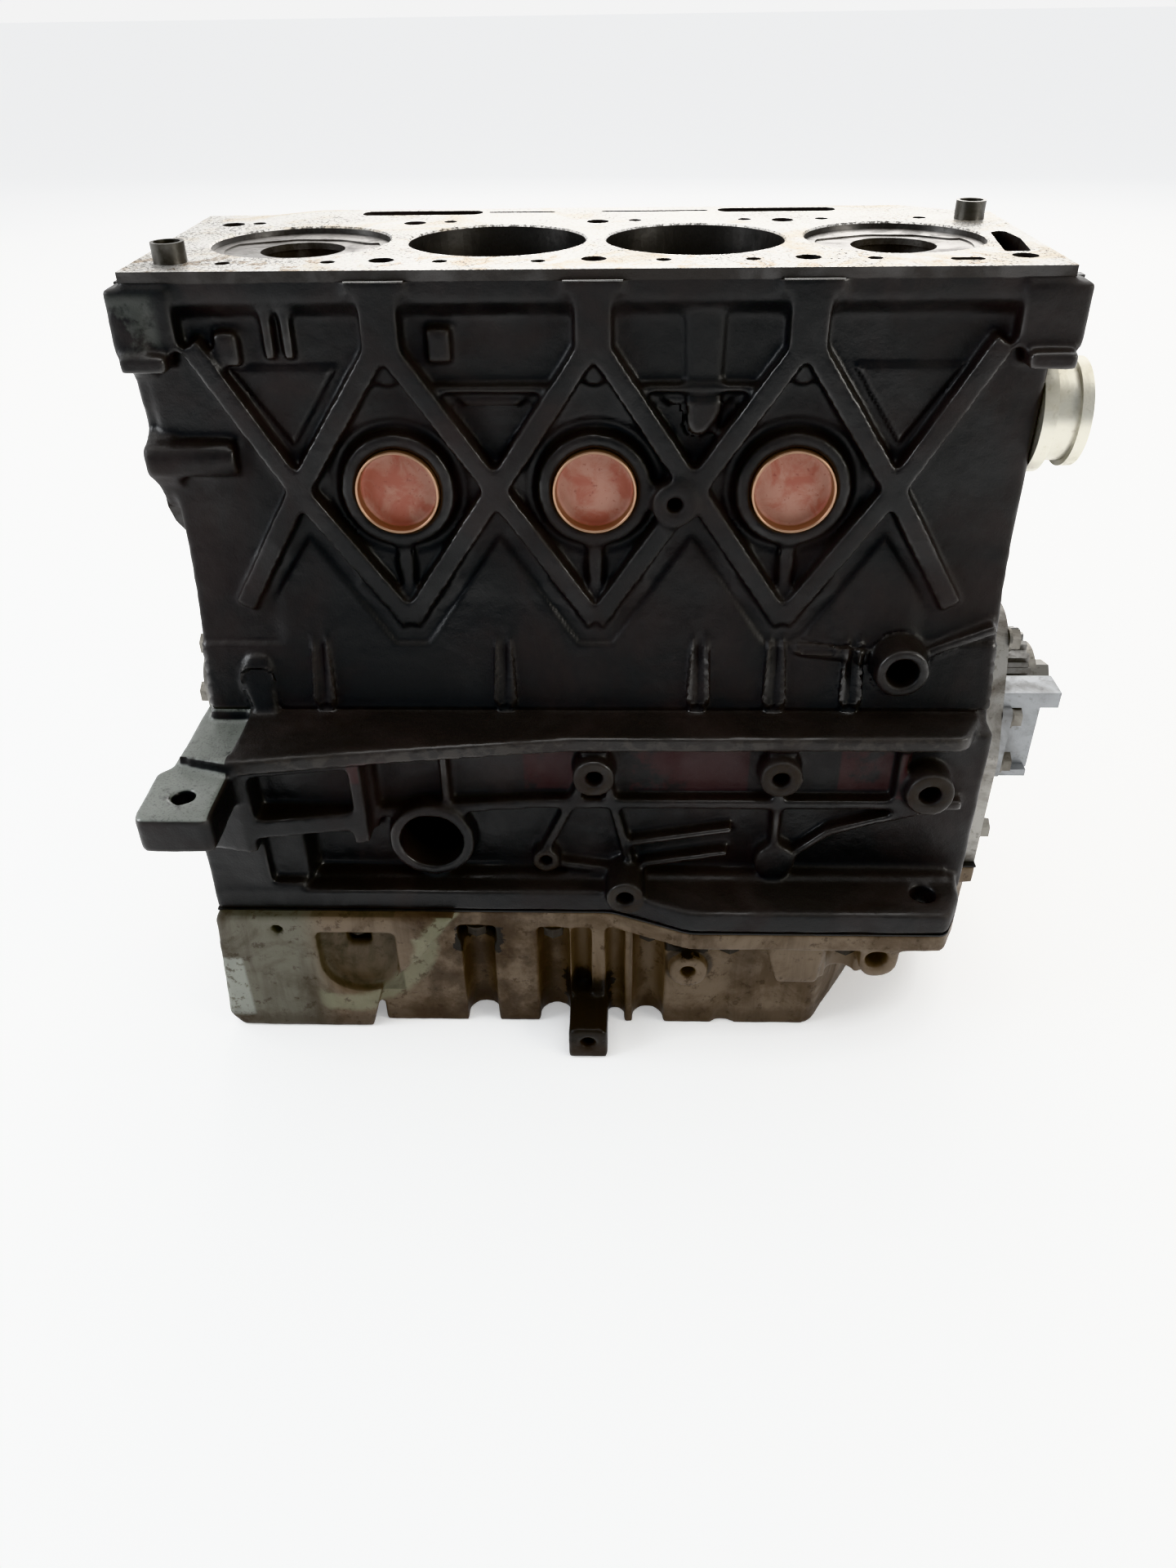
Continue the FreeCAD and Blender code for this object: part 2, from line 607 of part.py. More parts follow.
        cuts.append(cyl(bracket_thread / 2, (x, face - bracket_thread_depth, z), (x, face + 9, z)))
    for y, z in flange_bolts:
        cuts.append(cyl(flange_hole / 2, (-flange_plane - 1, y, z), (-flange_plane + 30, y, z)))
    for x, y in rail_bolts():
        cuts.append(cyl(sump_bolt / 2, (x, y, -rail_level - 1), (x, y, -rail_level + 10)))
    for y, z in cover_bolts + bracket_bolts:
        cuts.append(cyl(cover_bolt / 2, (t - 14, y, z), (t + 1, y, z)))
    for y, z in carrier_bolts:
        cuts.append(cyl(carrier_bolt / 2, (-flange_plane, y, z), (-flange_plane + carrier_thickness + 8, y, z)))
    cuts.append(cyl(flange_hole / 2, lug_hole + (crank_z - 12,), lug_hole + (crank_z + 38,)))
    cuts.append(side(carrier_outline(rail_drop + 1), -flange_plane - 1, -flange_plane + carrier_thickness))
    return clean(casting.cut(cuts))


def core_plug(x):
    """Pressed steel cup, open side outwards."""
    r = plug_diameter / 2
    back = -wall_plane + 1
    cup = cyl(r, (x, back, -plug_level), (x, back - plug_depth, -plug_level))
    inside = cyl(r - plug_sheet, (x, back - plug_sheet, -plug_level), (x, back - plug_depth - 1, -plug_level))
    return cup.cut(inside)


def deck_dowels():
    rings = []
    for x, y in dowel_places:
        ring = cyl(dowel_shank / 2, (x, y, -dowel_depth), (x, y, 0)).fuse(
            cyl(dowel_outer / 2, (x, y, -dowel_depth), (x, y, dowel_stand)))
        rings.append(clean(ring.cut(cyl(dowel_inner / 2, (x, y, -dowel_depth - 1), (x, y, dowel_stand + 1)))))
    return Part.makeCompound(rings)


def main_cap(x):
    h = cap_half_width
    waist = crank_z - cap_depth / 2
    cap = side([(-h, crank_z), (-h, waist, 5), (-h + 22, crank_z - cap_depth, 8), (h - 22, crank_z - cap_depth, 8),
                (h, waist, 5), (h, crank_z)], x - bulkhead / 2, x + bulkhead / 2)
    cuts = [cyl(main_journal / 2 + shell_thickness, (x - bulkhead, 0, crank_z), (x + bulkhead, 0, crank_z))]
    for way in (-1, 1):
        y = way * main_bolt_span
        cuts.append(cyl(main_bolt / 2, (x, y, crank_z - cap_depth - 1), (x, y, crank_z + 1)))
        cuts.append(cyl(9.5, (x, y, crank_z - cap_depth - 1), (x, y, crank_z - main_cap_seat)))
    return clean(cap.cut(cuts))


def main_cap_bolts():
    bolts = []
    for x in main_x:
        for way in (-1, 1):
            bolts.append(bolt(main_bolt - 1.2, 13, 9, main_cap_seat + main_thread_depth - 8, (x, way * main_bolt_span,
                         crank_z - main_cap_seat), (0, 0, 1)))
    return Part.makeCompound(bolts)


def half_ring(outer, inner, x0, x1, centre_y, centre_z, up):
    ring = cyl(outer, (x0, centre_y, centre_z), (x1, centre_y, centre_z))
    ring = ring.cut(cyl(inner, (x0 - 1, centre_y, centre_z), (x1 + 1, centre_y, centre_z)))
    lower = centre_z if up else centre_z - outer - 1
    return ring.common(box(x0, x1, centre_y - outer - 1, centre_y + outer + 1, lower, lower + outer + 1))


def main_bearing_shells():
    shells = []
    outer = main_journal / 2 + shell_thickness
    inner = main_journal / 2 + bearing_clearance
    for x in main_x:
        for up in (True, False):
            shells.append(half_ring(outer, inner, x - shell_width / 2, x + shell_width / 2, 0, crank_z, up))
    return Part.makeCompound(shells)


def thrust_washers():
    inner = main_journal / 2 + shell_thickness
    face = bulkhead / 2
    thickness = (main_width - bulkhead) / 2 - 0.1
    return Part.makeCompound([half_ring(inner + 9, inner, way, way + thickness, 0, crank_z, True)
                              for way in (face, -face - thickness)])


def web(x0, x1):
    """One crank web with its counterweight, drawn with the throw straight up."""
    pin = throw
    neck = side([(-29, 4), (-27, pin), (27, pin), (29, 4)], x0, x1)
    round_pin = cyl(29, (x0, 0, pin), (x1, 0, pin))
    hub = cyl(36, (x0, 0, 0), (x1, 0, 0))
    weight = cyl(counterweight_radius, (x0, 0, 0), (x1, 0, 0)).common(
        side([(-8, 8), (-counterweight_radius, -26), (-counterweight_radius, -80), (counterweight_radius, -80),
              (counterweight_radius, -26), (8, 8)], x0, x1))
    crown = side([(-40, pin + 21), (40, pin + 21), (40, pin + 40), (-40, pin + 40)], x0 - 1, x1 + 1)
    return union([neck, round_pin, hub, weight]).cut(crown)


def crankshaft():
    pieces = []
    for x in main_x:
        pieces.append(cyl(main_journal / 2, (x - main_width / 2, 0, 0), (x + main_width / 2, 0, 0)))
    for x, phase in zip(cylinder_x, throw_phase):
        inner = pin_width / 2
        local = [cyl(crankpin / 2, (x - inner, 0, throw), (x + inner, 0, throw)),
                 web(x - inner - web_width, x - inner), web(x + inner, x + inner + web_width)]
        group = union(local)
        group.rotate(V(0, 0, 0), V(1, 0, 0), phase)
        pieces.append(group)
    rear = main_x[0] - main_width / 2
    nose = main_x[4] + main_width / 2
    end = -flange_plane - flywheel_seat
    pieces.append(cyl(crank_flange / 2, (rear, 0, 0), (end, 0, 0)))
    pieces.append(cyl(nose_diameter / 2, (nose, 0, 0), (sprocket_end, 0, 0)))
    shaft = union(pieces)
    cuts = [cyl(pilot_bore / 2, (end - 1, 0, 0), (end + pilot_depth, 0, 0))]
    for k in range(flywheel_bolts):
        a = 2 * math.pi * k / flywheel_bolts
        y, z = flywheel_circle / 2 * math.sin(a), flywheel_circle / 2 * math.cos(a)
        cuts.append(cyl(flywheel_thread / 2, (end - 1, y, z), (end + flywheel_thread_depth, y, z)))
    cuts.append(cyl(crank_bolt / 2 - 0.8, (sprocket_end - 40, 0, 0), (sprocket_end + 1, 0, 0)))
    cuts.append(box(sprocket_start - 2, sprocket_end + 1, -2.5, 2.5, nose_diameter / 2 - 2, nose_diameter / 2 + 2))
    shaft = clean(shaft.cut(cuts))
    shaft.rotate(V(0, 0, 0), V(1, 0, 0), rest_angle)
    shaft.translate(V(0, 0, crank_z))
    return shaft


def toothed(x0, x1, radius, depth, teeth, fill=0.5):
    """Toothed wheel centred on the X axis."""
    points = []
    step = 2 * math.pi / teeth
    for k in range(teeth):
        for part_of_step, r in ((-0.5 * fill - 0.08, radius - depth), (-0.5 * fill + 0.08, radius),
                                (0.5 * fill - 0.08, radius), (0.5 * fill + 0.08, radius - depth)):
            a = (k + part_of_step) * step
            points.append((r * math.sin(a), r * math.cos(a)))
    return side(points, x0, x1)


def seat_on_crank(shape):
    shape.rotate(V(0, 0, 0), V(1, 0, 0), rest_angle)
    shape.translate(V(0, 0, crank_z))
    return shape


def crank_sprocket():
    wheel = toothed(sprocket_start, sprocket_end - 2, sprocket_radius, 3, sprocket_teeth)
    flange = cyl(sprocket_radius + 2, (sprocket_start, 0, 0), (sprocket_start + 2, 0, 0))
    bore_cut = cyl(nose_diameter / 2, (sprocket_start - 1, 0, 0), (sprocket_end + 1, 0, 0))
    key = box(sprocket_start, sprocket_end - 2, -2.5, 2.5, nose_diameter / 2 - 2, nose_diameter / 2 + 1)
    return seat_on_crank(clean(union([wheel, flange]).cut(bore_cut).fuse(key)))


def crank_bolt_and_washer():
    washer = cyl(22, (sprocket_end, 0, 0), (sprocket_end + 4, 0, 0))
    shank = cyl(crank_bolt / 2 - 0.8, (sprocket_end - 36, 0, 0), (sprocket_end, 0, 0))
    head = hexagon(21, (sprocket_end + 4, 0, 0), (11, 0, 0))
    return seat_on_crank(union([washer, shank, head]))


def pump_drive_sprocket():
    wheel = toothed(timing_plane + 2, timing_plane + 8, chain_sprocket, chain_tooth, drive_teeth)
    return seat_on_crank(clean(wheel.cut(cyl(nose_diameter / 2, (timing_plane, 0, 0), (timing_plane + 10, 0, 0)))))


def place_rod(shape, index):
    """Takes a piece drawn with the crankpin at the origin and the gudgeon pin above it to its cylinder."""
    way = 1 if throw_phase[index] == 0 else -1
    angle = math.radians(rest_angle)
    pin_y = -way * throw * math.sin(angle)
    pin_z = crank_z + way * throw * math.cos(angle)
    shape.rotate(V(0, 0, 0), V(1, 0, 0), -way * rod_tilt_ratio * rest_angle)
    shape.translate(V(cylinder_x[index], pin_y, pin_z))
    return shape


def big_end_outline(lower):
    r = crankpin / 2 + shell_thickness + 7
    w = rod_bolt_span + 6.2
    if lower:
        return [(-w, 0), (-w, -rod_cap_seat, 2), (-rod_bolt_span + 7, -rod_cap_seat), (-22, -r + 4, 5),
                (-10, -r - 1, 3), (10, -r - 1, 3), (22, -r + 4, 5), (rod_bolt_span - 7, -rod_cap_seat),
                (w, -rod_cap_seat, 2), (w, 0)]
    return [(-w, 0), (-w, 14, 3), (-24, 33, 12), (-11, 52, 20), (-9, rod_length - 18), (9, rod_length - 18),
            (11, 52, 20), (24, 33, 12), (w, 14, 3), (w, 0)]


def connecting_rod(index):
    h = rod_half_width
    body = side(big_end_outline(False), -h, h)
    small = cyl(gudgeon_diameter / 2 + 6, (-h, 0, rod_length), (h, 0, rod_length))
    rod = union([body, small])
    # Beam section: the shank is thinner than its ends and panelled on both faces
    thin = side([(-16, 50), (16, 50), (16, rod_length - 17), (-16, rod_length - 17)], 0, h)
    for way in (-1, 1):
        slab = thin.copy()
        slab.translate(V(8 if way > 0 else -8 - h, 0, 0))
        rod = rod.cut(slab)
        panel = side([(-5.5, 46, 3), (5.5, 46, 3), (4.5, rod_length - 27, 3), (-4.5, rod_length - 27, 3)],
                     3 if way > 0 else -h - 1, h + 1 if way > 0 else -3)
        rod = rod.cut(panel)
    cuts = [cyl(crankpin / 2 + shell_thickness, (-h - 1, 0, 0), (h + 1, 0, 0)),
            cyl(gudgeon_diameter / 2 + bearing_clearance, (-h - 1, 0, rod_length), (h + 1, 0, rod_length))]
    for way in (-1, 1):
        cuts.append(cyl(rod_bolt / 2, (0, way * rod_bolt_span, -1), (0, way * rod_bolt_span, 40)))
    return place_rod(clean(rod.cut(cuts)), index)


def rod_cap(index):
    h = rod_half_width
    cap = side(big_end_outline(True), -h, h)
    cuts = [cyl(crankpin / 2 + shell_thickness, (-h - 1, 0, 0), (h + 1, 0, 0))]
    for way in (-1, 1):
        cuts.append(cyl(rod_bolt / 2 + 0.5, (0, way * rod_bolt_span, -40), (0, way * rod_bolt_span, 1)))
    return place_rod(clean(cap.cut(cuts)), index)


def rod_bolts(index):
    bolts = [bolt(rod_bolt, 10, 7, rod_cap_seat + rod_bolt_depth, (0, way * rod_bolt_span, -rod_cap_seat), (0, 0, 1))
             for way in (-1, 1)]
    return place_rod(Part.makeCompound(bolts), index)


def rod_shells(index):
    outer = crankpin / 2 + shell_thickness
    inner = crankpin / 2 + bearing_clearance
    halves = [half_ring(outer, inner, -shell_width / 2 - 1, shell_width / 2 + 1, 0, 0, up) for up in (True, False)]
    return place_rod(Part.makeCompound(halves), index)


def place_piston(shape, index):
    """Takes a piece drawn round the gudgeon pin to its height in the bore."""
    way = 1 if throw_phase[index] == 0 else -1
    angle = math.radians(rest_angle)
    reach = math.sqrt(rod_length ** 2 - (throw * math.sin(angle)) ** 2)
    shape.translate(V(cylinder_x[index], 0, crank_z + way * throw * math.cos(angle) + reach))
    return shape


def piston(index):
    r = bore / 2 - piston_clearance
    top = compression_height
    low = top - piston_height
    body = cyl(r, (0, 0, low), (0, 0, top))
    bowl = cyl(bowl_mouth + 3, (0, 0, top - bowl_depth), (0, 0, top - 3.5)).fuse(
        cyl(bowl_mouth, (0, 0, top - 4), (0, 0, top + 1)))
    bowl = bowl.cut(cone(15, 3, (0, 0, top - bowl_depth - 0.1), (0, 0, top - 6)))
    hollow = cyl(r - skirt_thickness, (0, 0, low - 1), (0, 0, 22))
    bosses = union([box(rod_half_width + 1.5, r, -19, 19, -16, 22), box(-r, -rod_half_width - 1.5, -19, 19, -16, 22)])
    hollow = hollow.cut(bosses)
    flats = [box(gudgeon_length / 2 - 1, r + 1, -r, r, low - 1, 15), box(-r - 1, -gudgeon_length / 2 + 1, -r, r,
                                                                         low - 1, 15)]
    cuts = [bowl, hollow] + flats
    for down, height in ring_grooves:
        groove = cyl(r + 1, (0, 0, top - down - height), (0, 0, top - down))
        cuts.append(groove.cut(cyl(r - groove_depth, (0, 0, top - down - height), (0, 0, top - down))))
    cuts.append(cyl(gudgeon_diameter / 2, (-r - 1, 0, 0), (r + 1, 0, 0)))
    # Shallow step across the crown, lower on the ribbed side
    cuts.append(plan([(-42, 8), (-26, 16, 8), (-8, 24, 12), (14, 22, 12), (28, 12, 8), (42, 14), (42, -42),
                      (-42, -42)], top - 0.7, top + 1).common(cyl(r - 5, (0, 0, top - 1), (0, 0, top + 1))))
    return place_piston(clean(body.cut(cuts)), index)


def piston_rings(index):
    r = bore / 2 - piston_clearance
    rings = []
    for k, (down, height) in enumerate(ring_grooves):
        z1 = compression_height - down - 0.05
        z0 = z1 - height + 0.1
        ring = cyl(r, (0, 0, z0), (0, 0, z1)).cut(cyl(r - groove_depth, (0, 0, z0 - 1), (0, 0, z1 + 1)))
        slit = box(r - groove_depth - 1, r + 1, -0.5, 0.5, z0 - 1, z1 + 1)
        slit.rotate(V(0, 0, 0), V(0, 0, 1), 120 * k + 60)
        rings.append(ring.cut(slit))
    return place_piston(Part.makeCompound(rings), index)


def gudgeon_pin(index):
    h = gudgeon_length / 2
    pin = cyl(gudgeon_diameter / 2, (-h, 0, 0), (h, 0, 0)).cut(cyl(pin_bore / 2, (-h - 1, 0, 0), (h + 1, 0, 0)))
    return place_piston(pin, index)


def sump_outline():
    return rail_outline(cover_end)


def sump_opening():
    """Inside edge of the bottom flange."""
    i = skirt_plane - 16
    return [(-flange_plane + 14, -i, 8), (176, -i, 8), (184, -58, 6), (cover_end - 6, -58, 4),
            (cover_end - 6, 58, 4), (184, 58, 6), (176, i, 8), (-flange_plane + 14, i, 8)]


def rail_bolts():
    """Where the sump bolts go up into the rail, on the ribbed side and at the back."""
    return sump_bolt_places + [(x, sump_back) for x, y in sump_bolt_places]


def sump_gasket():
    flat = plan(sump_outline(), -sump_top, -rail_level)
    opening = plan(sump_opening(), -sump_top - 1, -rail_level + 1)
    cuts = [opening]
    for x, y in rail_bolts():
        cuts.append(cyl(sump_bolt / 2 + 0.4, (x, y, -sump_top - 1), (x, y, -rail_level + 1)))
    cuts.append(cyl(foot_bore / 2, foot_hole + (-sump_top - 1,), foot_hole + (-rail_level + 1,)))
    return clean(flat.cut(cuts))


def oil_sump():
    top = -sump_top
    under = top - sump_flange
    floor = -sump_bottom
    low = -shallow_bottom
    face = -sump_front
    flange = plan(sump_outline(), under, top)
    deep = plan([(-flange_plane + 4, -112), (118, -112, 10), (150, -62, 20), (158, -20), (158, 60), (138, 104, 20),
                 (-flange_plane + 4, 108)], floor, top)
    shallow = plan([(100, -112), (118, -120, 8), (150, -112, 10), (cover_end - 2, -66, 10), (cover_end - 2, 66, 10),
                    (150, 104), (100, 104)], low, top)
    plate = front([(-flange_plane, top), (-flange_plane - 6, floor + 9, 5), (-flange_plane, floor, 3), (-126, floor),
                   (-118, floor + 29, 20), (-96, floor + 51, 20), (-74, top)], face - 2, -104)
    rear_face = side([(face, top), (face, floor, 6), (108, floor, 6), (108, top)], -flange_plane, -flange_plane + 12)
    inner_deep = plan([(-flange_plane + 16, -90, 10), (106, -90, 14), (136, -56, 20), (148, -20), (148, 56),
                       (130, 90, 16), (-flange_plane + 16, 90, 10)], floor + sump_wall, top + 1)
    inner_shallow = plan([(90, -84), (140, -84, 8), (184, -58, 8), (cover_end - 6, -58, 4), (cover_end - 6, 58, 4),
                          (184, 58, 8), (140, 84, 8), (90, 84)], low + sump_wall, top + 1)
    # Flutes for the bolts' heads run down the wall, and those between the bosses are plain
    flutes = []
    for x, y in rail_bolts() + [(-8, -107), (10, -107)]:
        out = y + 30 if y > 0 else y - 30
        wide = flute_width if (x, y) in rail_bolts() else flute_width * 0.6
        depth = floor - 1
        flutes.append(cyl(wide / 2, (x, y, depth), (x, y, under)))
        flutes.append(box(x - wide / 2, x + wide / 2, min(y, out), max(y, out), depth, under))
    shell = union([flange, deep, shallow, rear_face]).cut([inner_deep, inner_shallow] + flutes)

    boss_x, boss_z = sump_boss[0], -sump_bottom + sump_boss[1]
    ear_x, ear_z = sump_ear[0], top - sump_ear[1]
    low_x, low_z = sump_low_boss[0], floor + sump_low_boss[1]
    boss = cyl(10.5, (boss_x, -100, boss_z), (boss_x, face - 3, boss_z))
    low_boss = front([(low_x - 10.5, floor), (low_x - 10.5, low_z + 10, 5), (low_x + 10.5, low_z + 10, 5),
                      (low_x + 10.5, floor)], face - sump_low_stand, -100)
    ear = front([(ear_x - 8.5, top), (ear_x - 8.5, ear_z - 12, 9), (ear_x + 11.5, ear_z - 12, 10),
                 (ear_x + 11.5, top)], -sump_ear_front, -110)
    foot = top - sump_flange - 28
    buttress = front([(84, top), (96, foot, 2), (117, foot, 2), (121, top)], face - 7, -104)
    solid = union([shell, plate, boss, low_boss, ear, buttress])

    # U-shaped recess, its small hole, the square pocket and the bosses' holes
    cuts = [front([(-149, under), (-149, floor + 27, 20), (-107, floor + 27, 20), (-107, under)], -130, -110),
            cyl(3, (-169, -130, under + 2), (-169, -108, under + 2)),
            front([(-74, under + 1), (-74, under - 10, 2), (-54, under - 13, 3), (-54, under + 1)], -130, -95),
            cyl(4, (boss_x, -130, boss_z), (boss_x, -104, boss_z)),
            front([(boss_x - 9, under), (boss_x - 9, under - 12), (boss_x + 10, under - 12), (boss_x + 10, under)],
                  -130, -102, 2),
            cyl(3.6, (low_x, face - sump_low_stand - 1, low_z),
                (low_x, face - sump_low_stand + sump_low_depth, low_z)),
            cyl(6, (ear_x, -130, ear_z), (ear_x, -sump_ear_front + sump_ear_depth, ear_z)),
            cyl(foot_bore / 2, foot_hole + (under - 1,), foot_hole + (top + 1,)),
            cyl(drain_bore / 2, (-20, 80, floor + drain_height), (-20, 112, floor + drain_height))]
    for x, y in rail_bolts():
        cuts.append(cyl(sump_bolt / 2 + 0.4, (x, y, under - 1), (x, y, top + 1)))
        cuts.append(cyl(sump_bolt_head * 0.62 + 0.6, (x, y, under - 14), (x, y, under)))
    for way in (-1, 1):
        for z in (top - 26, floor + 15):
            cuts.append(cyl(flange_hole / 2, (-flange_plane - 10, way * 99, z), (-flange_plane + 9, way * 99, z)))
    return clean(solid.cut(cuts))


def sump_bolts():
    length = sump_flange + gasket + 9
    return Part.makeCompound([bolt(sump_bolt, sump_bolt_head, 6.5, length, (x, y, -sump_top - sump_flange), (0, 0, 1))
                              for x, y in rail_bolts()])


def drain_plug():
    z = -sump_bottom + drain_height
    return bolt(drain_bore, 17, 8, 14, (-20, 108, z), (0, -1, 0))


def front_cover_outline(inset=0.0):
    drop = rail_drop + (0 if inset == 0 else 1)
    half = [(cover_half - 24 - inset, 59.4 - inset, 26), (cover_half - inset, -8.6, 20), (cover_half - inset, -drop)]
    return from_crank([(-y, z) + tuple(r) for y, z, *r in reversed(half)] + half)


def front_cover():
    shell = side(front_cover_outline(), timing_plane, cover_end)
    hollow = side(front_cover_outline(10.0), timing_plane - 1, cover_end - 4)
    nose = cyl(31, (cover_end - 6, 0, crank_z), (cover_end, 0, crank_z))
    cuts = [hollow, cyl(seal_outer, (timing_plane, 0, crank_z), (cover_end + 1, 0, crank_z))]
    for y, z in cover_bolts + bracket_bolts:
        cuts.append(cyl(cover_bolt / 2 + 0.1, (timing_plane - 1, y, z), (cover_end + 1, y, z)))
    pads = [cyl(8.5, (timing_plane, y, z), (cover_end, y, z)).common(side(front_cover_outline(), timing_plane,
            cover_end)) for y, z in cover_bolts + bracket_bolts]
    return clean(shell.cut(hollow).fuse(pads).fuse(nose).cut(cuts[1:]))


def front_oil_seal():
    ring = cyl(seal_outer, (cover_end - 6, 0, crank_z), (cover_end, 0, crank_z))
    return ring.cut(cyl(nose_diameter / 2 + running_gap, (cover_end - 7, 0, crank_z), (cover_end + 1, 0, crank_z)))


def cover_bolt_set():
    deep = cover_thickness + 12
    bolts = [bolt(cover_bolt, 10, 6, deep, (cover_end, y, z), (-1, 0, 0)) for y, z in cover_bolts]
    bolts += [bolt(cover_bolt, 10, 6, deep + bracket_foot, (cover_end + bracket_foot, y, z), (-1, 0, 0))
              for y, z in bracket_bolts]
    bolts += [bolt(carrier_bolt, 10, 5, carrier_thickness + 6, (-flange_plane, y, z), (1, 0, 0))
              for y, z in carrier_bolts]
    return Part.makeCompound(bolts)


def carrier_outline(drop):
    half = [(carrier_half - 18, 51.4, 14), (carrier_half, 37.4, 14), (carrier_half, -drop)]
    return from_crank([(-y, z) + tuple(r) for y, z, *r in reversed(half)] + half)


def rear_seal_carrier():
    plate = side(carrier_outline(rail_drop), -flange_plane, -flange_plane + carrier_thickness)
    cuts = [cyl(crank_flange / 2 + 8, (-flange_plane - 1, 0, crank_z), (-flange_plane + 12, 0, crank_z))]
    for y, z in carrier_bolts:
        cuts.append(cyl(carrier_bolt / 2 + 0.2, (-flange_plane - 1, y, z), (-flange_plane + 12, y, z)))
    return clean(plate.cut(cuts))


def rear_oil_seal():
    x0, x1 = -flange_plane, -flange_plane + carrier_thickness - 1
    ring = cyl(crank_flange / 2 + 8, (x0, 0, crank_z), (x1, 0, crank_z))
    return ring.cut(cyl(crank_flange / 2 + running_gap, (x0 - 1, 0, crank_z), (x1 + 1, 0, crank_z)))


def timing_bracket():
    """Cast guard beside the crank sprocket, a channel on a foot bolted to the cover."""
    x0, x1 = cover_end, cover_end + bracket_reach
    head, toe = crank_z + 24.4, crank_z - 30.6
    wall = box(x0, x1 - 4, -44, -40, toe + 2, head - 1)
    upper = box(x0, x1, -56, -38, head - 7, head).fuse(box(x0, x1, -56, -53, head - 19, head))
    lower = box(x0, x1 - 6, -50, -38, toe, toe + 4)
    foot = side([(-61, head - 8), (-61, toe + 5), (-40, toe + 5), (-40, head - 8)], x0, x0 + bracket_foot, 4)
    cuts = [cyl(cover_bolt / 2 + 0.1, (x0 - 1, y, z), (x0 + 9, y, z)) for y, z in bracket_bolts]
    cuts += [cyl(6.6, (x0 + bracket_foot, y, z), (x1, y, z)) for y, z in bracket_bolts]
    return clean(union([wall, upper, lower, foot]).cut(cuts))


def coolant_pump_cover():
    """Round machined boss at the upper corner of the timing end."""
    y, z = pump_cover_centre
    flange = cyl(26, (timing_plane, y, z), (timing_plane + 6, y, z))
    neck = cyl(21, (timing_plane + 6, y, z), (timing_plane + 18, y, z))
    rim = cyl(23.5, (timing_plane + 17, y, z), (timing_plane + 22, y, z))
    bore_cut = cyl(14, (timing_plane + 8, y, z), (timing_plane + 23, y, z))
    return clean(union([flange, neck, rim]).cut(bore_cut))


def oil_pump():
    x0, x1 = main_x[4] - bulkhead / 2, timing_plane - 3
    hip = -pump_level + 13
    body = side([(-34, crank_z - cap_depth), (-34, hip, 6), (-26, -pump_level - 26, 10), (26, -pump_level - 26, 10),
                 (34, hip, 6), (34, crank_z - cap_depth)], x0 + 2, x1)
    cuts = [cyl(pump_shaft / 2 + bearing_clearance, (x0, 0, -pump_level), (x1 + 1, 0, -pump_level)),
            side([(-8, -pump_level + 17), (-8, crank_z - cap_depth - 1), (8, crank_z - cap_depth - 1),
                  (8, -pump_level + 17)], x0, x1 + 1, 2)]
    boss = cyl(11, (x0 - 20, 0, -pump_level - 14), (x0 + 3, 0, -pump_level - 14))
    hole = cyl(8, (x0 - 21, 0, -pump_level - 14), (x0 + 1, 0, -pump_level - 14))
    return clean(body.cut(cuts).fuse(boss).cut(hole))


def oil_pickup():
    x = main_x[4] - bulkhead / 2 - 18
    z = -pump_level - 14
    path = Part.Wire([Part.makeLine(V(x + 16, 0, z), V(x - 12, 0, z)),
                      Part.Arc(V(x - 12, 0, z), V(x - 12 - 22 * math.sin(math.pi / 4), 0, z - 22 *
                               (1 - math.cos(math.pi / 4))), V(x - 34, 0, z - 22)).toShape(),
                      Part.makeLine(V(x - 34, 0, z - 22), V(x - 34, 0, z - 34))])
    section = Part.Wire(Part.makeCircle(7.9, V(x + 16, 0, z), V(1, 0, 0)))
    tube = path.makePipeShell([section], True, False)
    bell = cone(8, 22, (x - 34, 0, z - 34), (x - 34, 0, z - 46))
    return clean(tube.fuse(bell))


def pump_sprocket():
    wheel = toothed(timing_plane + 2, timing_plane + 8, pump_sprocket_radius, chain_tooth, pump_teeth)
    shaft = cyl(pump_shaft / 2, (main_x[4] - 8, 0, 0), (timing_plane + 8, 0, 0))
    shape = union([wheel, shaft])
    shape.translate(V(0, 0, -pump_level))
    return clean(shape)


def oil_pump_chain():
    """Closed loop round the two chain sprockets."""
    x0 = timing_plane + 5 - chain_width / 2
    distance = -pump_level - crank_z
    inner = [chain_sprocket + running_gap, pump_sprocket_radius + running_gap]

    def loop(extra):
        ra, rb = inner[0] + extra, inner[1] + extra
        lean = math.asin((ra - rb) / abs(distance))
        ca, sa = math.cos(lean), math.sin(lean)
        a_y, a_z = ra * ca, -ra * sa
        b_y, b_z = rb * ca, distance - rb * sa
        upper = Part.Arc(V(x0, a_y, a_z), V(x0, 0, ra), V(x0, -a_y, a_z)).toShape()
        lower = Part.Arc(V(x0, -b_y, b_z), V(x0, 0, distance - rb), V(x0, b_y, b_z)).toShape()
        wire = Part.Wire([upper, Part.makeLine(V(x0, -a_y, a_z), V(x0, -b_y, b_z)), lower,
                          Part.makeLine(V(x0, b_y, b_z), V(x0, a_y, a_z))])
        return Part.Face(wire).extrude(V(chain_width, 0, 0))

    band = loop(chain_height).cut(loop(0))
    band.translate(V(0, 0, crank_z))
    return band


def piston_cooling_jets():
    jets = []
    for x in cylinder_x:
        body = cyl(4.5, (x, jet_row, -bore_bottom - 11), (x, jet_row, -bore_bottom))
        nozzle = cyl(1.6, (x, jet_row, -bore_bottom - 8), (x, jet_row - jet_reach, -bore_bottom - 8))
        jets.append(clean(body.fuse(nozzle)))
    return Part.makeCompound(jets)


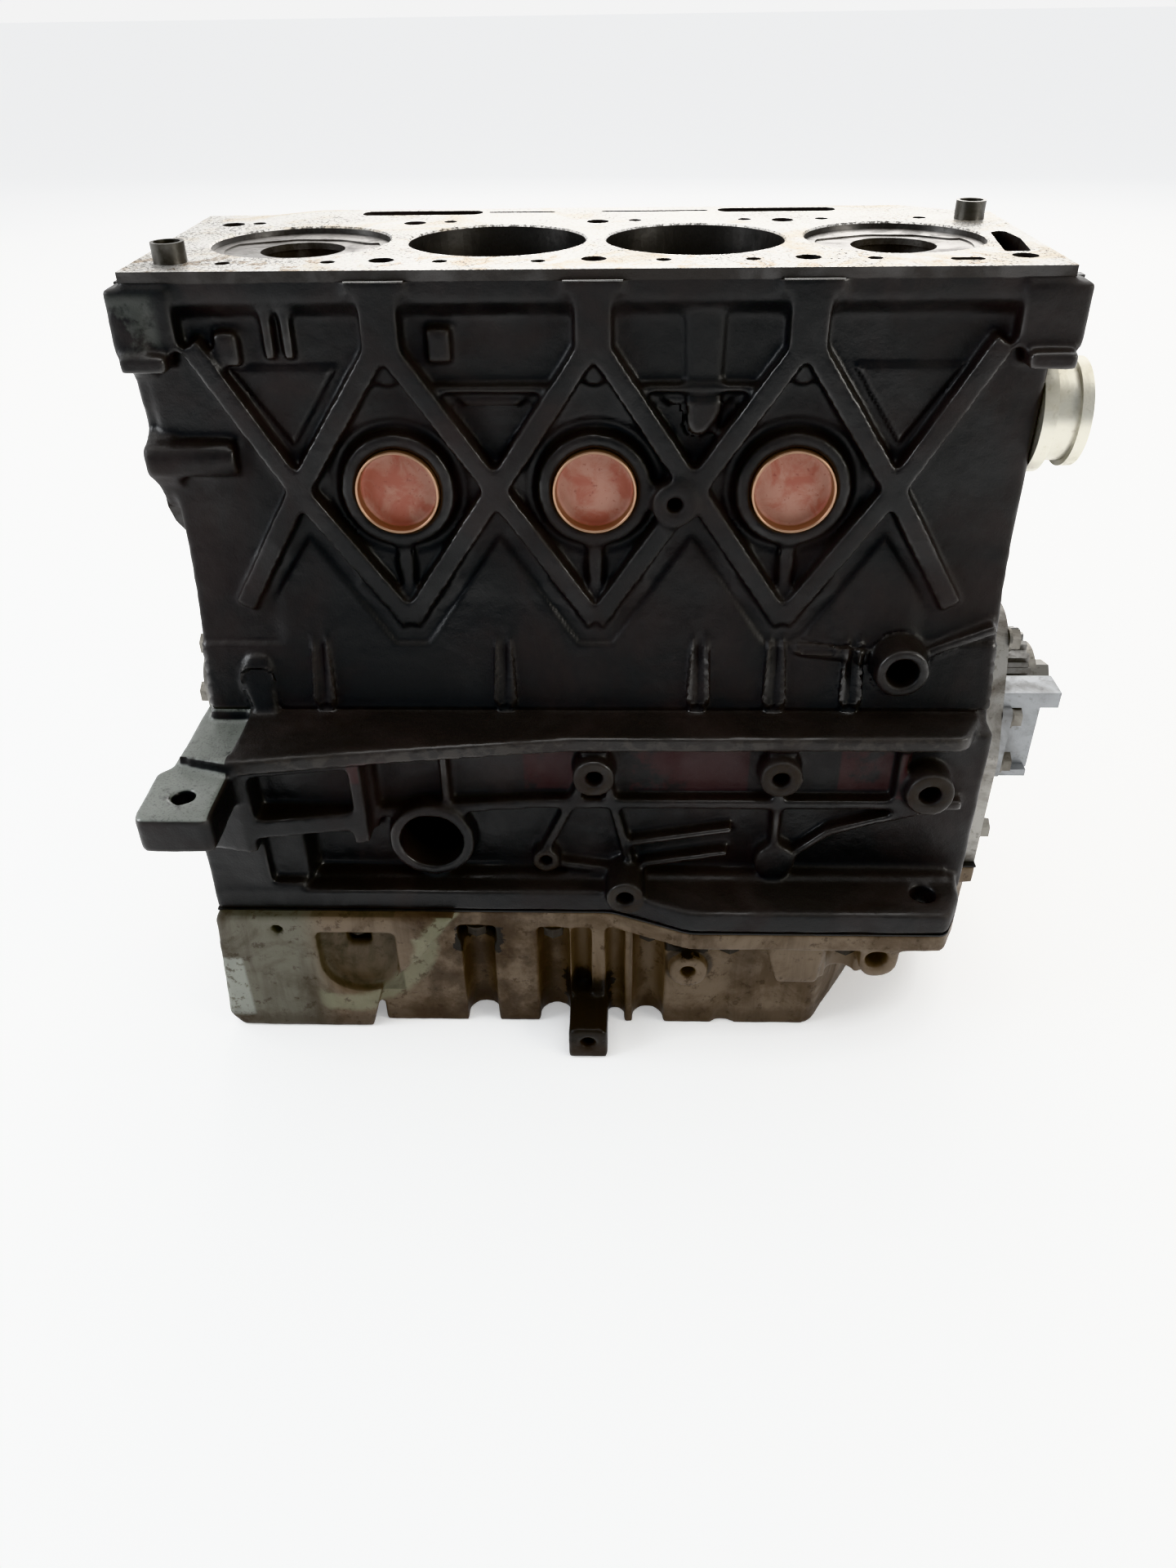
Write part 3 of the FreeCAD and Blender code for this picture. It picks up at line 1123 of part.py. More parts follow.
def export(name, shape):
    shape.exportStep("parts/" + name + ".step")
    print(name, "solids", len(shape.Solids), "valid", shape.isValid(), "volume", round(shape.Volume / 1000, 1))


os.makedirs("parts", exist_ok=True)
export("cylinder_block", cylinder_block())
export("core_plugs", Part.makeCompound([core_plug(x) for x in main_x[1:4]]))
export("deck_dowels", deck_dowels())
for number, x in enumerate(main_x, 1):
    export("main_cap_%d" % number, main_cap(x))
export("main_cap_bolts", main_cap_bolts())
export("main_bearing_shells", main_bearing_shells())
export("thrust_washers", thrust_washers())
export("crankshaft", crankshaft())
export("crank_sprocket", crank_sprocket())
export("crank_bolt", crank_bolt_and_washer())
export("pump_drive_sprocket", pump_drive_sprocket())
for index in range(4):
    number = index + 1
    export("connecting_rod_%d" % number, connecting_rod(index))
    export("rod_cap_%d" % number, rod_cap(index))
    export("rod_cap_bolts_%d" % number, rod_bolts(index))
    export("rod_bearing_shells_%d" % number, rod_shells(index))
    export("piston_%d" % number, piston(index))
    export("piston_rings_%d" % number, piston_rings(index))
    export("gudgeon_pin_%d" % number, gudgeon_pin(index))
export("oil_sump", oil_sump())
export("sump_gasket", sump_gasket())
export("sump_bolts", sump_bolts())
export("drain_plug", drain_plug())
export("front_cover", front_cover())
export("front_oil_seal", front_oil_seal())
export("cover_bolts", cover_bolt_set())
export("rear_seal_carrier", rear_seal_carrier())
export("rear_oil_seal", rear_oil_seal())
export("timing_bracket", timing_bracket())
export("coolant_pump_cover", coolant_pump_cover())
export("oil_pump", oil_pump())
export("oil_pickup", oil_pickup())
export("pump_sprocket", pump_sprocket())
export("oil_pump_chain", oil_pump_chain())
export("piston_cooling_jets", piston_cooling_jets())
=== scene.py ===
import bmesh
import bpy
import math
from mathutils import Matrix, Vector, noise


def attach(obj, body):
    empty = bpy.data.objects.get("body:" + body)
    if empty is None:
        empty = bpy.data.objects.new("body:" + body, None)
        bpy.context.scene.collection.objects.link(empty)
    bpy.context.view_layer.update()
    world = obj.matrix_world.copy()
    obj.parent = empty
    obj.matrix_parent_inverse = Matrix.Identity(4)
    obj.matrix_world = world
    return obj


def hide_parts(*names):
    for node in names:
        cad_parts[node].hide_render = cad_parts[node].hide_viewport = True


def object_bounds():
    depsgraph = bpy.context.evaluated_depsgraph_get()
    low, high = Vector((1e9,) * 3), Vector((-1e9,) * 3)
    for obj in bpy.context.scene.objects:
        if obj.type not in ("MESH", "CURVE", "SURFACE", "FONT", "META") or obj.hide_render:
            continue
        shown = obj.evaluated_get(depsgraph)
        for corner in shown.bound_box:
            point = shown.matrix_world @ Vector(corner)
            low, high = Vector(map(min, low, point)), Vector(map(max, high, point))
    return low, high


# A used four-cylinder bottom end: oily cast iron, a stained alloy sump and a bright pitted head deck.
# Places are in mm in the CAD's frame: deck at z 0, crank along x, flywheel end at -x, camera at -y.
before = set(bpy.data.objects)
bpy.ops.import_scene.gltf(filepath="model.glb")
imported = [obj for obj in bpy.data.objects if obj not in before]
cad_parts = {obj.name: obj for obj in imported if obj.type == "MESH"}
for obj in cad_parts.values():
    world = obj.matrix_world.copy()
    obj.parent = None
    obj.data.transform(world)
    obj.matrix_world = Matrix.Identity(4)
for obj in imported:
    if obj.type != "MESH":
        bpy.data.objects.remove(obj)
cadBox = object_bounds()
mm = 0.001
boreAxes = (-133.5, -44.5, 44.5, 133.5)
plugAxes = (-89, 0, 89)
plugLevel = -93
crankLevel = -227.4


# Shader maths reads as plain arithmetic: a Value wraps a socket
class Value:
    def __init__(self, graph, socket):
        self.graph = graph
        self.socket = socket

    def math(self, operation, *others):
        inputs = dict(enumerate([self, *others]))
        return self.graph.add("ShaderNodeMath", {"operation": operation}, inputs)

    def __add__(self, other):
        return self.math("ADD", other)

    def __sub__(self, other):
        return self.math("SUBTRACT", other)

    def __mul__(self, other):
        return self.math("MULTIPLY", other)

    def __rsub__(self, other):
        return self.graph.add("ShaderNodeMath", {"operation": "SUBTRACT"}, {0: other, 1: self})

    def __pow__(self, other):
        return self.math("POWER", other)

    __radd__ = __add__
    __rmul__ = __mul__

    def size(self):
        return self.math("ABSOLUTE")

    def root(self):
        return self.math("SQRT")

    def most(self, other):
        return self.math("MAXIMUM", other)

    def ramp(self, low, high, start=0.0, end=1.0):
        return self.graph.add("ShaderNodeMapRange", {"interpolation_type": "SMOOTHSTEP"},
                              {0: self, 1: low, 2: high, 3: start, 4: end})

    def below(self, limit, soft=0.2 * mm):
        return self.ramp(limit - soft, limit + soft, 1, 0)

    def above(self, limit, soft=0.2 * mm):
        return self.ramp(limit - soft, limit + soft, 0, 1)

    # Unlike below() and above(), this takes mm
    def between(self, low, high, soft=0.2):
        return self.above(low * mm, soft * mm) * self.below(high * mm, soft * mm)


# One material: a node graph whose nodes are all made by add()
class Graph:
    def __init__(self, name):
        self.material = bpy.data.materials.new(name)
        self.material.use_nodes = True
        self.tree = self.material.node_tree
        self.shader = self.tree.nodes["Principled BSDF"]
        self.place = self.add("ShaderNodeTexCoord", {}, {}, "Object")
        self.x, self.y, self.z = self.split(self.place)
        self.ny, self.nz = self.split(self.add("ShaderNodeNewGeometry", {}, {}, "Normal"))[1:]
        self.point = self.add("ShaderNodeNewGeometry", {}, {}, "Pointiness")

    def add(self, kind, settings, inputs, output=0):
        node = self.tree.nodes.new(kind)
        for key, value in settings.items():
            setattr(node, key, value)
        for key, value in inputs.items():
            self.feed(node.inputs[key], value)
        return Value(self, node.outputs[output])

    def feed(self, socket, value):
        if isinstance(value, Value):
            self.tree.links.new(value.socket, socket)
        elif isinstance(value, tuple) and socket.type == "RGBA":
            socket.default_value = (*value, 1)
        else:
            socket.default_value = value

    def split(self, vector):
        first = self.add("ShaderNodeSeparateXYZ", {}, {0: vector})
        return [Value(self, output) for output in first.socket.node.outputs]

    def noise(self, scale, detail, rough, warp=0.0, place=None):
        return self.add("ShaderNodeTexNoise", {}, {"Vector": place or self.place, "Scale": scale,
                                                   "Detail": detail, "Roughness": rough, "Distortion": warp})

    # A layer is scale, detail, roughness and warp of a noise, then the values where it starts and is full
    def layer(self, s, place=None):
        return self.noise(*s[:4], place).ramp(*s[4:])

    def stretched(self, sx, sy, sz):
        return self.add("ShaderNodeMapping", {}, {"Vector": self.place, "Scale": (sx, sy, sz)})

    def mix(self, mask, one, other):
        return self.add("ShaderNodeMix", {"data_type": "RGBA"}, {0: mask, 6: one, 7: other}, 2)

    def bump(self, height, depth, strength, under=None):
        inputs = {"Height": height, "Distance": depth, "Strength": strength}
        if under is not None:
            inputs["Normal"] = under
        return self.add("ShaderNodeBump", {}, inputs)

    def box(self, x0, x1, z0, z1, soft=0.8):
        return self.x.between(x0, x1, soft) * self.z.between(z0, z1, soft)

    def away(self, x, z):
        return ((self.x - x * mm) ** 2 + (self.z - z * mm) ** 2).root()

    def finish(self, **sockets):
        for key, value in sockets.items():
            self.feed(self.shader.inputs[key.replace("_", " ").title().replace("Ior", "IOR")], value)
        return self.material


# Camera where the photograph was taken, its lens in a frame of 1440 by 1920 pixels
cameraSettings = {"place": (11.84 * mm, -556.63 * mm, 89.85 * mm), "down": 34.985, "turn": 1.957,
                  "roll": -0.836, "focalPixels": 1380, "frameHeight": 1920, "sensor": 36.0, "near": 0.01}


def makeCamera(s):
    data = bpy.data.cameras.new("camera")
    data.sensor_fit = "VERTICAL"
    data.sensor_height = s["sensor"]
    data.lens = s["focalPixels"] / s["frameHeight"] * s["sensor"]
    data.clip_start = s["near"]
    camera = bpy.data.objects.new("camera", data)
    bpy.context.scene.collection.objects.link(camera)
    turn = Matrix.Rotation(math.radians(s["turn"]), 4, "Z")
    tilt = Matrix.Rotation(math.radians(90 - s["down"]), 4, "X")
    roll = Matrix.Rotation(math.radians(s["roll"]), 4, "Z")
    camera.matrix_world = Matrix.Translation(s["place"]) @ turn @ tilt @ roll
    bpy.context.scene.camera = camera


# Light from behind and above, as in the photograph: the deck shines and the side wall stays dark.
# Here places and sizes are in metres. The sky turns from frontSky to backSky over skyBlend.
studio = {"floor": 40.0, "gap": 0.0002, "floorColour": (0.88, 0.88, 0.88), "floorGlow": 0.30,
          "frontSky": (0.34, 0.36, 0.38), "backSky": (1.12, 1.12, 1.12), "skyBlend": (-0.35, 0.25),
          "aim": (0, 0, -0.15),
          "panels": [{"name": "topPanel", "at": (0.1, 0.1, 1.9), "size": 2.4, "power": 28,
                      "colour": (1.0, 0.99, 0.97)},
                     {"name": "backPanel", "at": (0.2, 2.4, 1.35), "size": 1.8, "power": 58,
                      "colour": (1.0, 0.98, 0.95)},
                     {"name": "sidePanel", "at": (-1.8, -0.5, 0.7), "size": 1.0, "power": 20,
                      "colour": (0.94, 0.97, 1)},
                     {"name": "rightPanel", "at": (1.7, -0.9, 0.5), "size": 0.8, "power": 13,
                      "colour": (1, 0.97, 0.9)}]}


def makeFloor(s):
    bm = bmesh.new()
    bmesh.ops.create_grid(bm, x_segments=2, y_segments=2, size=s["floor"])
    bmesh.ops.translate(bm, vec=(0, 0, cadBox[0][2] - s["gap"]), verts=bm.verts)
    floor = meshObject("floor", bm)
    paint = Graph("floorPaper")
    floor.data.materials.append(paint.finish(
        base_color=s["floorColour"], roughness=0.95, specular_ior_level=0.1,
        emission_color=(1, 1, 1), emission_strength=s["floorGlow"]))


def makeSky(s):
    world = bpy.data.worlds.new("sky")
    bpy.context.scene.world = world
    world.use_nodes = True
    tree = world.node_tree
    place = tree.nodes.new("ShaderNodeTexCoord")
    split = tree.nodes.new("ShaderNodeSeparateXYZ")
    ramp = tree.nodes.new("ShaderNodeMapRange")
    blend = tree.nodes.new("ShaderNodeMix")
    blend.data_type = "RGBA"
    ramp.inputs[1].default_value, ramp.inputs[2].default_value = s["skyBlend"]
    blend.inputs[6].default_value = (*s["frontSky"], 1)
    blend.inputs[7].default_value = (*s["backSky"], 1)
    tree.links.new(place.outputs["Generated"], split.inputs[0])
    tree.links.new(split.outputs["Y"], ramp.inputs[0])
    tree.links.new(ramp.outputs[0], blend.inputs[0])
    tree.links.new(blend.outputs[2], tree.nodes["Background"].inputs[0])


def makeStudio(s):
    makeFloor(s)
    makeSky(s)
    for panel in s["panels"]:
        light = bpy.data.lights.new(panel["name"], "AREA")
        light.size = panel["size"]
        light.energy = panel["power"]
        light.color = panel["colour"]
        lamp = bpy.data.objects.new(panel["name"], light)
        bpy.context.scene.collection.objects.link(lamp)
        lamp.location = panel["at"]
        aim = Vector(s["aim"]) - Vector(panel["at"])
        lamp.rotation_euler = aim.to_track_quat("-Z", "Y").to_euler()
    bpy.context.scene.view_settings.view_transform = "Khronos PBR Neutral"


def meshObject(name, bm):
    mesh = bpy.data.meshes.new(name)
    bm.to_mesh(mesh)
    bm.free()
    thing = bpy.data.objects.new(name, mesh)
    bpy.context.scene.collection.objects.link(thing)
    return thing


# Meshes of the castings: a merged copy of a solid is cut by planes, and cast parts get soft corners.
# Distances in mm, angles in radians: an edge with a wider angle stays sharp
meshing = {"merge": 0.002, "cut": 0.0005, "castAngle": 0.8, "machinedAngle": 0.5}
free = (None, None)


def nodeMesh(name):
    bm = bmesh.new()
    bm.from_mesh(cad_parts[name].data)
    bmesh.ops.remove_doubles(bm, verts=bm.verts, dist=meshing["merge"] * mm)
    return bm


def keepBehind(bm, point, normal):
    cut = bmesh.ops.bisect_plane(bm, geom=[*bm.verts, *bm.edges, *bm.faces], dist=meshing["cut"] * mm,
                                 plane_co=point, plane_no=normal, clear_outer=True)
    rim = [e for e in cut["geom_cut"] if isinstance(e, bmesh.types.BMEdge) and e.is_boundary]
    if rim:
        bmesh.ops.triangle_fill(bm, use_beauty=False, use_dissolve=False, edges=rim, normal=normal)


def keepBox(bm, limits, margin=0.0):
    for axis, (low, high) in enumerate(limits):
        for limit, way in ((low, -1), (high, 1)):
            if limit is not None:
                point, normal = Vector(), Vector()
                point[axis] = (limit + way * margin) * mm
                normal[axis] = way
                keepBehind(bm, point, normal)
    return bm


def modified(bm, kind, settings):
    thing = meshObject("rough", bm)
    step = thing.modifiers.new("step", kind)
    for key, value in settings.items():
        setattr(step, key, value)
    mesh = bpy.data.meshes.new_from_object(thing.evaluated_get(bpy.context.evaluated_depsgraph_get()))
    bpy.data.objects.remove(thing)
    out = bmesh.new()
    out.from_mesh(mesh)
    bpy.data.meshes.remove(mesh)
    return out


def shadeSoft(bm, angle):
    for face in bm.faces:
        face.smooth = True
    for edge in bm.edges:
        edge.smooth = len(edge.link_faces) == 2 and edge.calc_face_angle(math.pi) < angle


def smoothStep(low, high, value):
    t = min(max((value - low) / (high - low), 0.0), 1.0)
    return t * t * (3 - 2 * t)


def hump(value, width):
    return max(0.0, 1 - (value / width) ** 2) ** 2


# Soft skin of one region of a casting: voxels, a few rounds of smoothing, then the relief that a core
# leaves, kept inside the CAD's box
def castSkin(name, source, limits, s, shape, material):
    bm = keepBox(source.copy(), limits, s["margin"])
    bm = modified(bm, "REMESH", {"mode": "VOXEL", "voxel_size": s["voxel"] * mm, "use_smooth_shade": True})
    for _ in range(s["rounds"]):
        bmesh.ops.smooth_vert(bm, verts=bm.verts, factor=0.5,
                              use_axis_x=True, use_axis_y=True, use_axis_z=True)
    bm.normal_update()
    moves = [(v, shape(v.co / mm, v.normal)) for v in bm.verts]
    for v, move in moves:
        v.co += v.normal * move * mm
        v.co = [min(max(c, low), high) for c, low, high in zip(v.co, *cadBox)]
    keepBox(bm, limits)
    shadeSoft(bm, meshing["castAngle"])
    piece = meshObject(name, bm)
    piece.data.materials.append(material)
    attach(piece, "block")
    print(name, len(piece.data.polygons))
    return piece


# Low waves of every cast surface: scale of a noise and height. They die out near the machined faces
swell = {"waves": ((0.045, 0.35), (0.21, 0.12)), "frontFade": (56, 62), "plainFade": (58, 63),
         "deckFade": (-5, -12)}


def castSwell(p, fade):
    waves = sum(noise.noise(p * scale) * height for scale, height in swell["waves"])
    return waves * smoothStep(*fade, abs(p.y)) * smoothStep(*swell["deckFade"], p.z)


def plainSwell(p, n):
    return castSwell(p, swell["plainFade"])


# The front wall stands at "face" and leans out under "bend". Its ribs cross over every bore at the height
# "crossing" and meet again between the bores at "root". "slope" is a rib's way along x for its height
wall = {"face": -61.3, "bend": -132, "lean": 0.225, "facing": (0.45, 0.8), "shelf": -200, "crossing": -92,
        "root": -156.5, "slope": 44.5 / 64.5, "ribCosine": 0.82, "ribSine": 0.568, "pitch": 89, "panel": 1.7}
panels = {"depth": (-3, 2), "low": -158, "ribHalf": 9.5, "edge": 2.6, "top": -51.5, "endTop": -38}
grooves = {"deep": 1.3, "radius": 29.5, "half": 3.6}
zigzag = {"depth": -3, "point": 5, "rise": (12.6, 15.2), "ends": (158, 148), "straight": (-166, -169)}
uprights = {"places": (-134, -44.5, 50, 87, 124), "top": -155, "deepest": -84, "ridge": (2.0, 3.3, 1.9),
            "valley": (1.3, 2.0), "topFade": (-160, -172), "footFade": (-198.5, -194)}


# Raised panels over the crossings, between the diamonds, and a groove round each plug's boss
def panelRelief(p, s):
    high = 0.0
    for x in boreAxes:
        side = ((p.z - wall["crossing"]) * wall["slope"] - abs(p.x - x)) * wall["ribCosine"] - s["ribHalf"]
        top = (s["top"] if abs(x) < wall["pitch"] else s["endTop"]) - p.z
        high += wall["panel"] * smoothStep(0, s["edge"], min(side, top))
    for x in plugAxes:
        around = math.hypot(p.x - x, p.z - plugLevel)
        high -= grooves["deep"] * hump(around - grooves["radius"], grooves["half"])
    return high


# The lower panel's edge follows the ribs down and up again
def zigzagRelief(p, s):
    across = abs(p.x - wall["pitch"] * round(p.x / wall["pitch"]))
    below = (wall["root"] + math.hypot(across, s["point"]) / wall["slope"] - p.z) * wall["ribSine"]
    edge = smoothStep(*s["rise"], below) * smoothStep(*s["ends"], abs(p.x))
    return wall["panel"] * max(edge, smoothStep(*s["straight"], p.z))


# Each upright rib is a pair of ridges with a valley between them
def uprightRelief(p, s):
    ridge, apart, ridgeHalf = s["ridge"]
    valley, valleyHalf = s["valley"]
    fade = smoothStep(*s["topFade"], p.z) * smoothStep(*s["footFade"], p.z)
    offs = [abs(p.x - x) for x in s["places"]]
    return fade * sum(ridge * hump(off - apart, ridgeHalf) - valley * hump(off, valleyHalf) for off in offs)


def frontWall(p, n):
    waves = castSwell(p, swell["frontFade"])
    facing = smoothStep(*wall["facing"], -n.y)
    if facing == 0:
        return waves
    face = wall["face"] - max(0.0, wall["bend"] - p.z) * wall["lean"]
    high = 0.0
    if p.z > panels["low"] and face + panels["depth"][0] < p.y < face + panels["depth"][1]:
        high += panelRelief(p, panels)
    if wall["shelf"] < p.z < wall["crossing"] and p.y > face + zigzag["depth"]:
        high += zigzagRelief(p, zigzag)
    if wall["shelf"] < p.z < uprights["top"] and p.y > uprights["deepest"]:
        high += uprightRelief(p, uprights)
    return waves + high * facing


# Boxes cut from the block, as x, y and z limits: the shelf's end beside the lug, whose top lies bare,
# and the dark hollows under it on both sides of a rib
lugCuts = {"shelfEnd": ((-230, -172.5), (-119, -79.5), (-207.0, -190)),
           "lugBack": ((-230, -193.3), (-84, -45), (-206.2, -190)),
           "upperHollow": ((-166, -119), (-140, -105), (-239, -214)),
           "lowerHollow": ((-168, -121), (-140, -104.5), (-286, -250))}


def carve(bm, boxes):
    for limits in boxes.values():
        cutter = bmesh.new()
        bmesh.ops.create_cube(cutter, size=1)
        bmesh.ops.scale(cutter, vec=[(b - a) * mm for a, b in limits], verts=cutter.verts)
        bmesh.ops.translate(cutter, vec=[(a + b) / 2 * mm for a, b in limits], verts=cutter.verts)
        tool = meshObject("cutter", cutter)
        bm = modified(bm, "BOOLEAN", {"operation": "DIFFERENCE", "solver": "EXACT", "object": tool})
        bpy.data.objects.remove(tool)
    return bm


# The block is a core with its machined faces, and three cast skins that meet it at these planes
block = {"front": -55.3, "back": 58.0, "under": -4.3, "shelf": -200.3,
         "frontCast": {"voxel": 1.40, "margin": 7.0, "rounds": 5},
         "backCast": {"voxel": 1.8, "margin": 9.0, "rounds": 4},
         "deck": -0.9, "boreRadius": 41, "boreFoot": -147, "timingFace": 192.4, "flangeFace": -199.4,
         "seatRadius": 31, "level": 0.4, "square": 0.9, "along": 0.5}


# Number of the material that a core face gets: iron, deck, honed bore or machined face
def coreFinish(face, s):
    c, n = face.calc_center_median() / mm, face.normal
    bore = min(math.hypot(c.x - x, c.y) for x in boreAxes)
    if c.z > s["deck"] and n.z > s["level"]:
        return 1
    if bore < s["boreRadius"] and c.z > s["boreFoot"] and abs(n.z) < s["along"]:
        return 2
    timing = c.x > s["timingFace"] and n.x > s["square"]
    flange = c.x < s["flangeFace"] and n.x < -s["square"]
    seat = math.hypot(c.y, c.z - crankLevel) < s["seatRadius"] and abs(n.x) < s["along"]
    return 3 if timing or flange or seat else 0


def makeBlock(s, materials):
    source = carve(nodeMesh("cylinder_block"), lugCuts)
    print("block carved", len(source.faces))
    core = keepBox(source.copy(), [free, free, (s["under"], None)])
    lower = keepBox(source.copy(), [free, (s["front"], s["back"]), (None, s["under"])])
    both = bpy.data.meshes.new("half")
    lower.to_mesh(both)
    core.from_mesh(both)
    lower.free()
    bpy.data.meshes.remove(both)
    core.normal_update()
    for face in core.faces:
        face.material_index = coreFinish(face, s)
    shadeSoft(core, meshing["machinedAngle"])
    piece = meshObject("blockCore", core)
    for material in materials:
        piece.data.materials.append(material)
    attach(piece, "block")
    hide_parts("cylinder_block")
    print("blockCore", len(piece.data.polygons))
    for level, tall in (("Upper", (s["shelf"], s["under"])), ("Lower", (None, s["shelf"]))):
        castSkin("blockFront" + level, source, [free, (None, s["front"]), tall],
                 s["frontCast"], frontWall, materials[0])
    castSkin("blockBackSkin", source, [free, (s["back"], None), (None, s["under"])],
             s["backCast"], plainSwell, materials[0])
    source.free()


# The sump is cast in two skins: a fine one in front and a coarse one for the rest
sump = {"split": -58.0, "frontCast": {"voxel": 1.3, "margin": 7.0, "rounds": 4},
        "restCast": {"voxel": 2.1, "margin": 9.0, "rounds": 3}}


def makeSump(s, alloy):
    source = nodeMesh("oil_sump")
    skin = castSkin("sumpFront", source, [free, (None, s["split"]), free],
                    s["frontCast"], plainSwell, alloy)
    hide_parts("oil_sump")
    castSkin("sumpRest", source, [free, (s["split"], None), free], s["restCast"], plainSwell, alloy)
    source.free()


# Pressed cups that close the core holes, seen from their open side: radius and y of a spun outline
plugCup = {"steps": 72, "merge": 0.01,
           "outline": [(0, -62.6), (9, -62.5), (14, -62.1), (16.2, -61.9), (17.1, -62.5), (17.4, -63.8),
                       (17.6, -68.2), (17.9, -68.9), (18.5, -69.0), (18.95, -68.5), (18.95, -60.6),
                       (18.4, -60.0), (0, -60.0)]}


def makePlugs(s, copper):
    bm = bmesh.new()
    for x in plugAxes:
        ring = [bm.verts.new((x * mm, y * mm, (plugLevel + r) * mm)) for r, y in s["outline"]]
        edges = [bm.edges.new(pair) for pair in zip(ring, ring[1:])]
        bmesh.ops.spin(bm, geom=[*ring, *edges], cent=(x * mm, 0, plugLevel * mm), axis=(0, 1, 0),
                       angle=2 * math.pi, steps=s["steps"], use_merge=True)
    bmesh.ops.remove_doubles(bm, verts=bm.verts, dist=s["merge"] * mm)
    bmesh.ops.recalc_face_normals(bm, faces=bm.faces)
    for face in bm.faces:
        face.smooth = True
    piece = meshObject("corePlugCups", bm)
    piece.data.materials.append(copper)
    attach(piece, "block")
    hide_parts("core_plugs")


# Bright flats on the strips' heads, milled with the deck's front edge
tabTop = {"half": 12.2, "front": -70.0, "back": -68.02, "low": -4.35, "high": -3.82}


def makeTabTops(s, material):
    bm = bmesh.new()
    for x in plugAxes:
        low = (x - s["half"], s["front"], s["low"])
        high = (x + s["half"], s["back"], s["high"])
        made = bmesh.ops.create_cube(bm, size=1)
        bmesh.ops.scale(bm, vec=[(b - a) * mm for a, b in zip(low, high)], verts=made["verts"])
        bmesh.ops.translate(bm, vec=[(a + b) / 2 * mm for a, b in zip(low, high)], verts=made["verts"])
    piece = meshObject("tabTops", bm)
    piece.data.materials.append(material)
    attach(piece, "block")


# Oily cast iron of the block. Colours come first, then the layers of noise, then the places of each mark
blockFinish = {"oil": (0.0086, 0.0085, 0.0086), "brown": (0.0200, 0.0162, 0.0156),
               "dustAndHighlight": (0.042, 0.037, 0.033), "worn": (0.019, 0.0145, 0.011),
               "bare": (0.155, 0.165, 0.150), "primer": (0.034, 0.014, 0.014),
               "patch": (14, 6, 0.6, 0.6, 0.40, 0.64), "speck": (900, 3, 0.6, 0, 0.50, 0.72),
               "streak": (30, 5, 0.6, 0, 0.45, 0.70), "streakScale": (1, 1, 0.22),
               "blot": (110, 5, 0.65, 0.5, 0.46, 0.58), "flaked": (60, 5, 0.6, 0, 0.36, 0.50),
               "scraped": (70, 6, 0.7, 0.4, 0.30, 0.46), "rubbed": (45, 5, 0.6, 0, 0.46, 0.56),
               "wet": (22, 5, 0.6, 0.4, 0.42, 0.62), "edge": (0.512, 0.56), "ledge": (0.25, 0.8),
               "grain": (900, 4, 0.6), "coarse": (198, 4, 0.6), "swell": (60, 3, 0.5),
               "grainDepth": 0.35, "swellDepth": 0.8,
               "windows": [(-119, -97, -221, -207), (-36, -11, -238, -212), (17, 76, -240, -210),
                           (121, 155, -238, -211)], "windowBack": -118,
               "rings": [(-0.7, -223, 10), (90.4, -223, 10), (163, -231, 11.5), (15, -289.8, 9.5),
                         (-26, -277.5, 6.5)], "ringFace": -99.5,
               "lip": (-168, 188, -209.5, -201.5), "lipFace": -97,
               "bareLitLugTop": {"right": -172.6, "low": -216, "high": -199.5, "back": -40},
               "ear": (-201, -181, -31, -9), "earFace": -52}


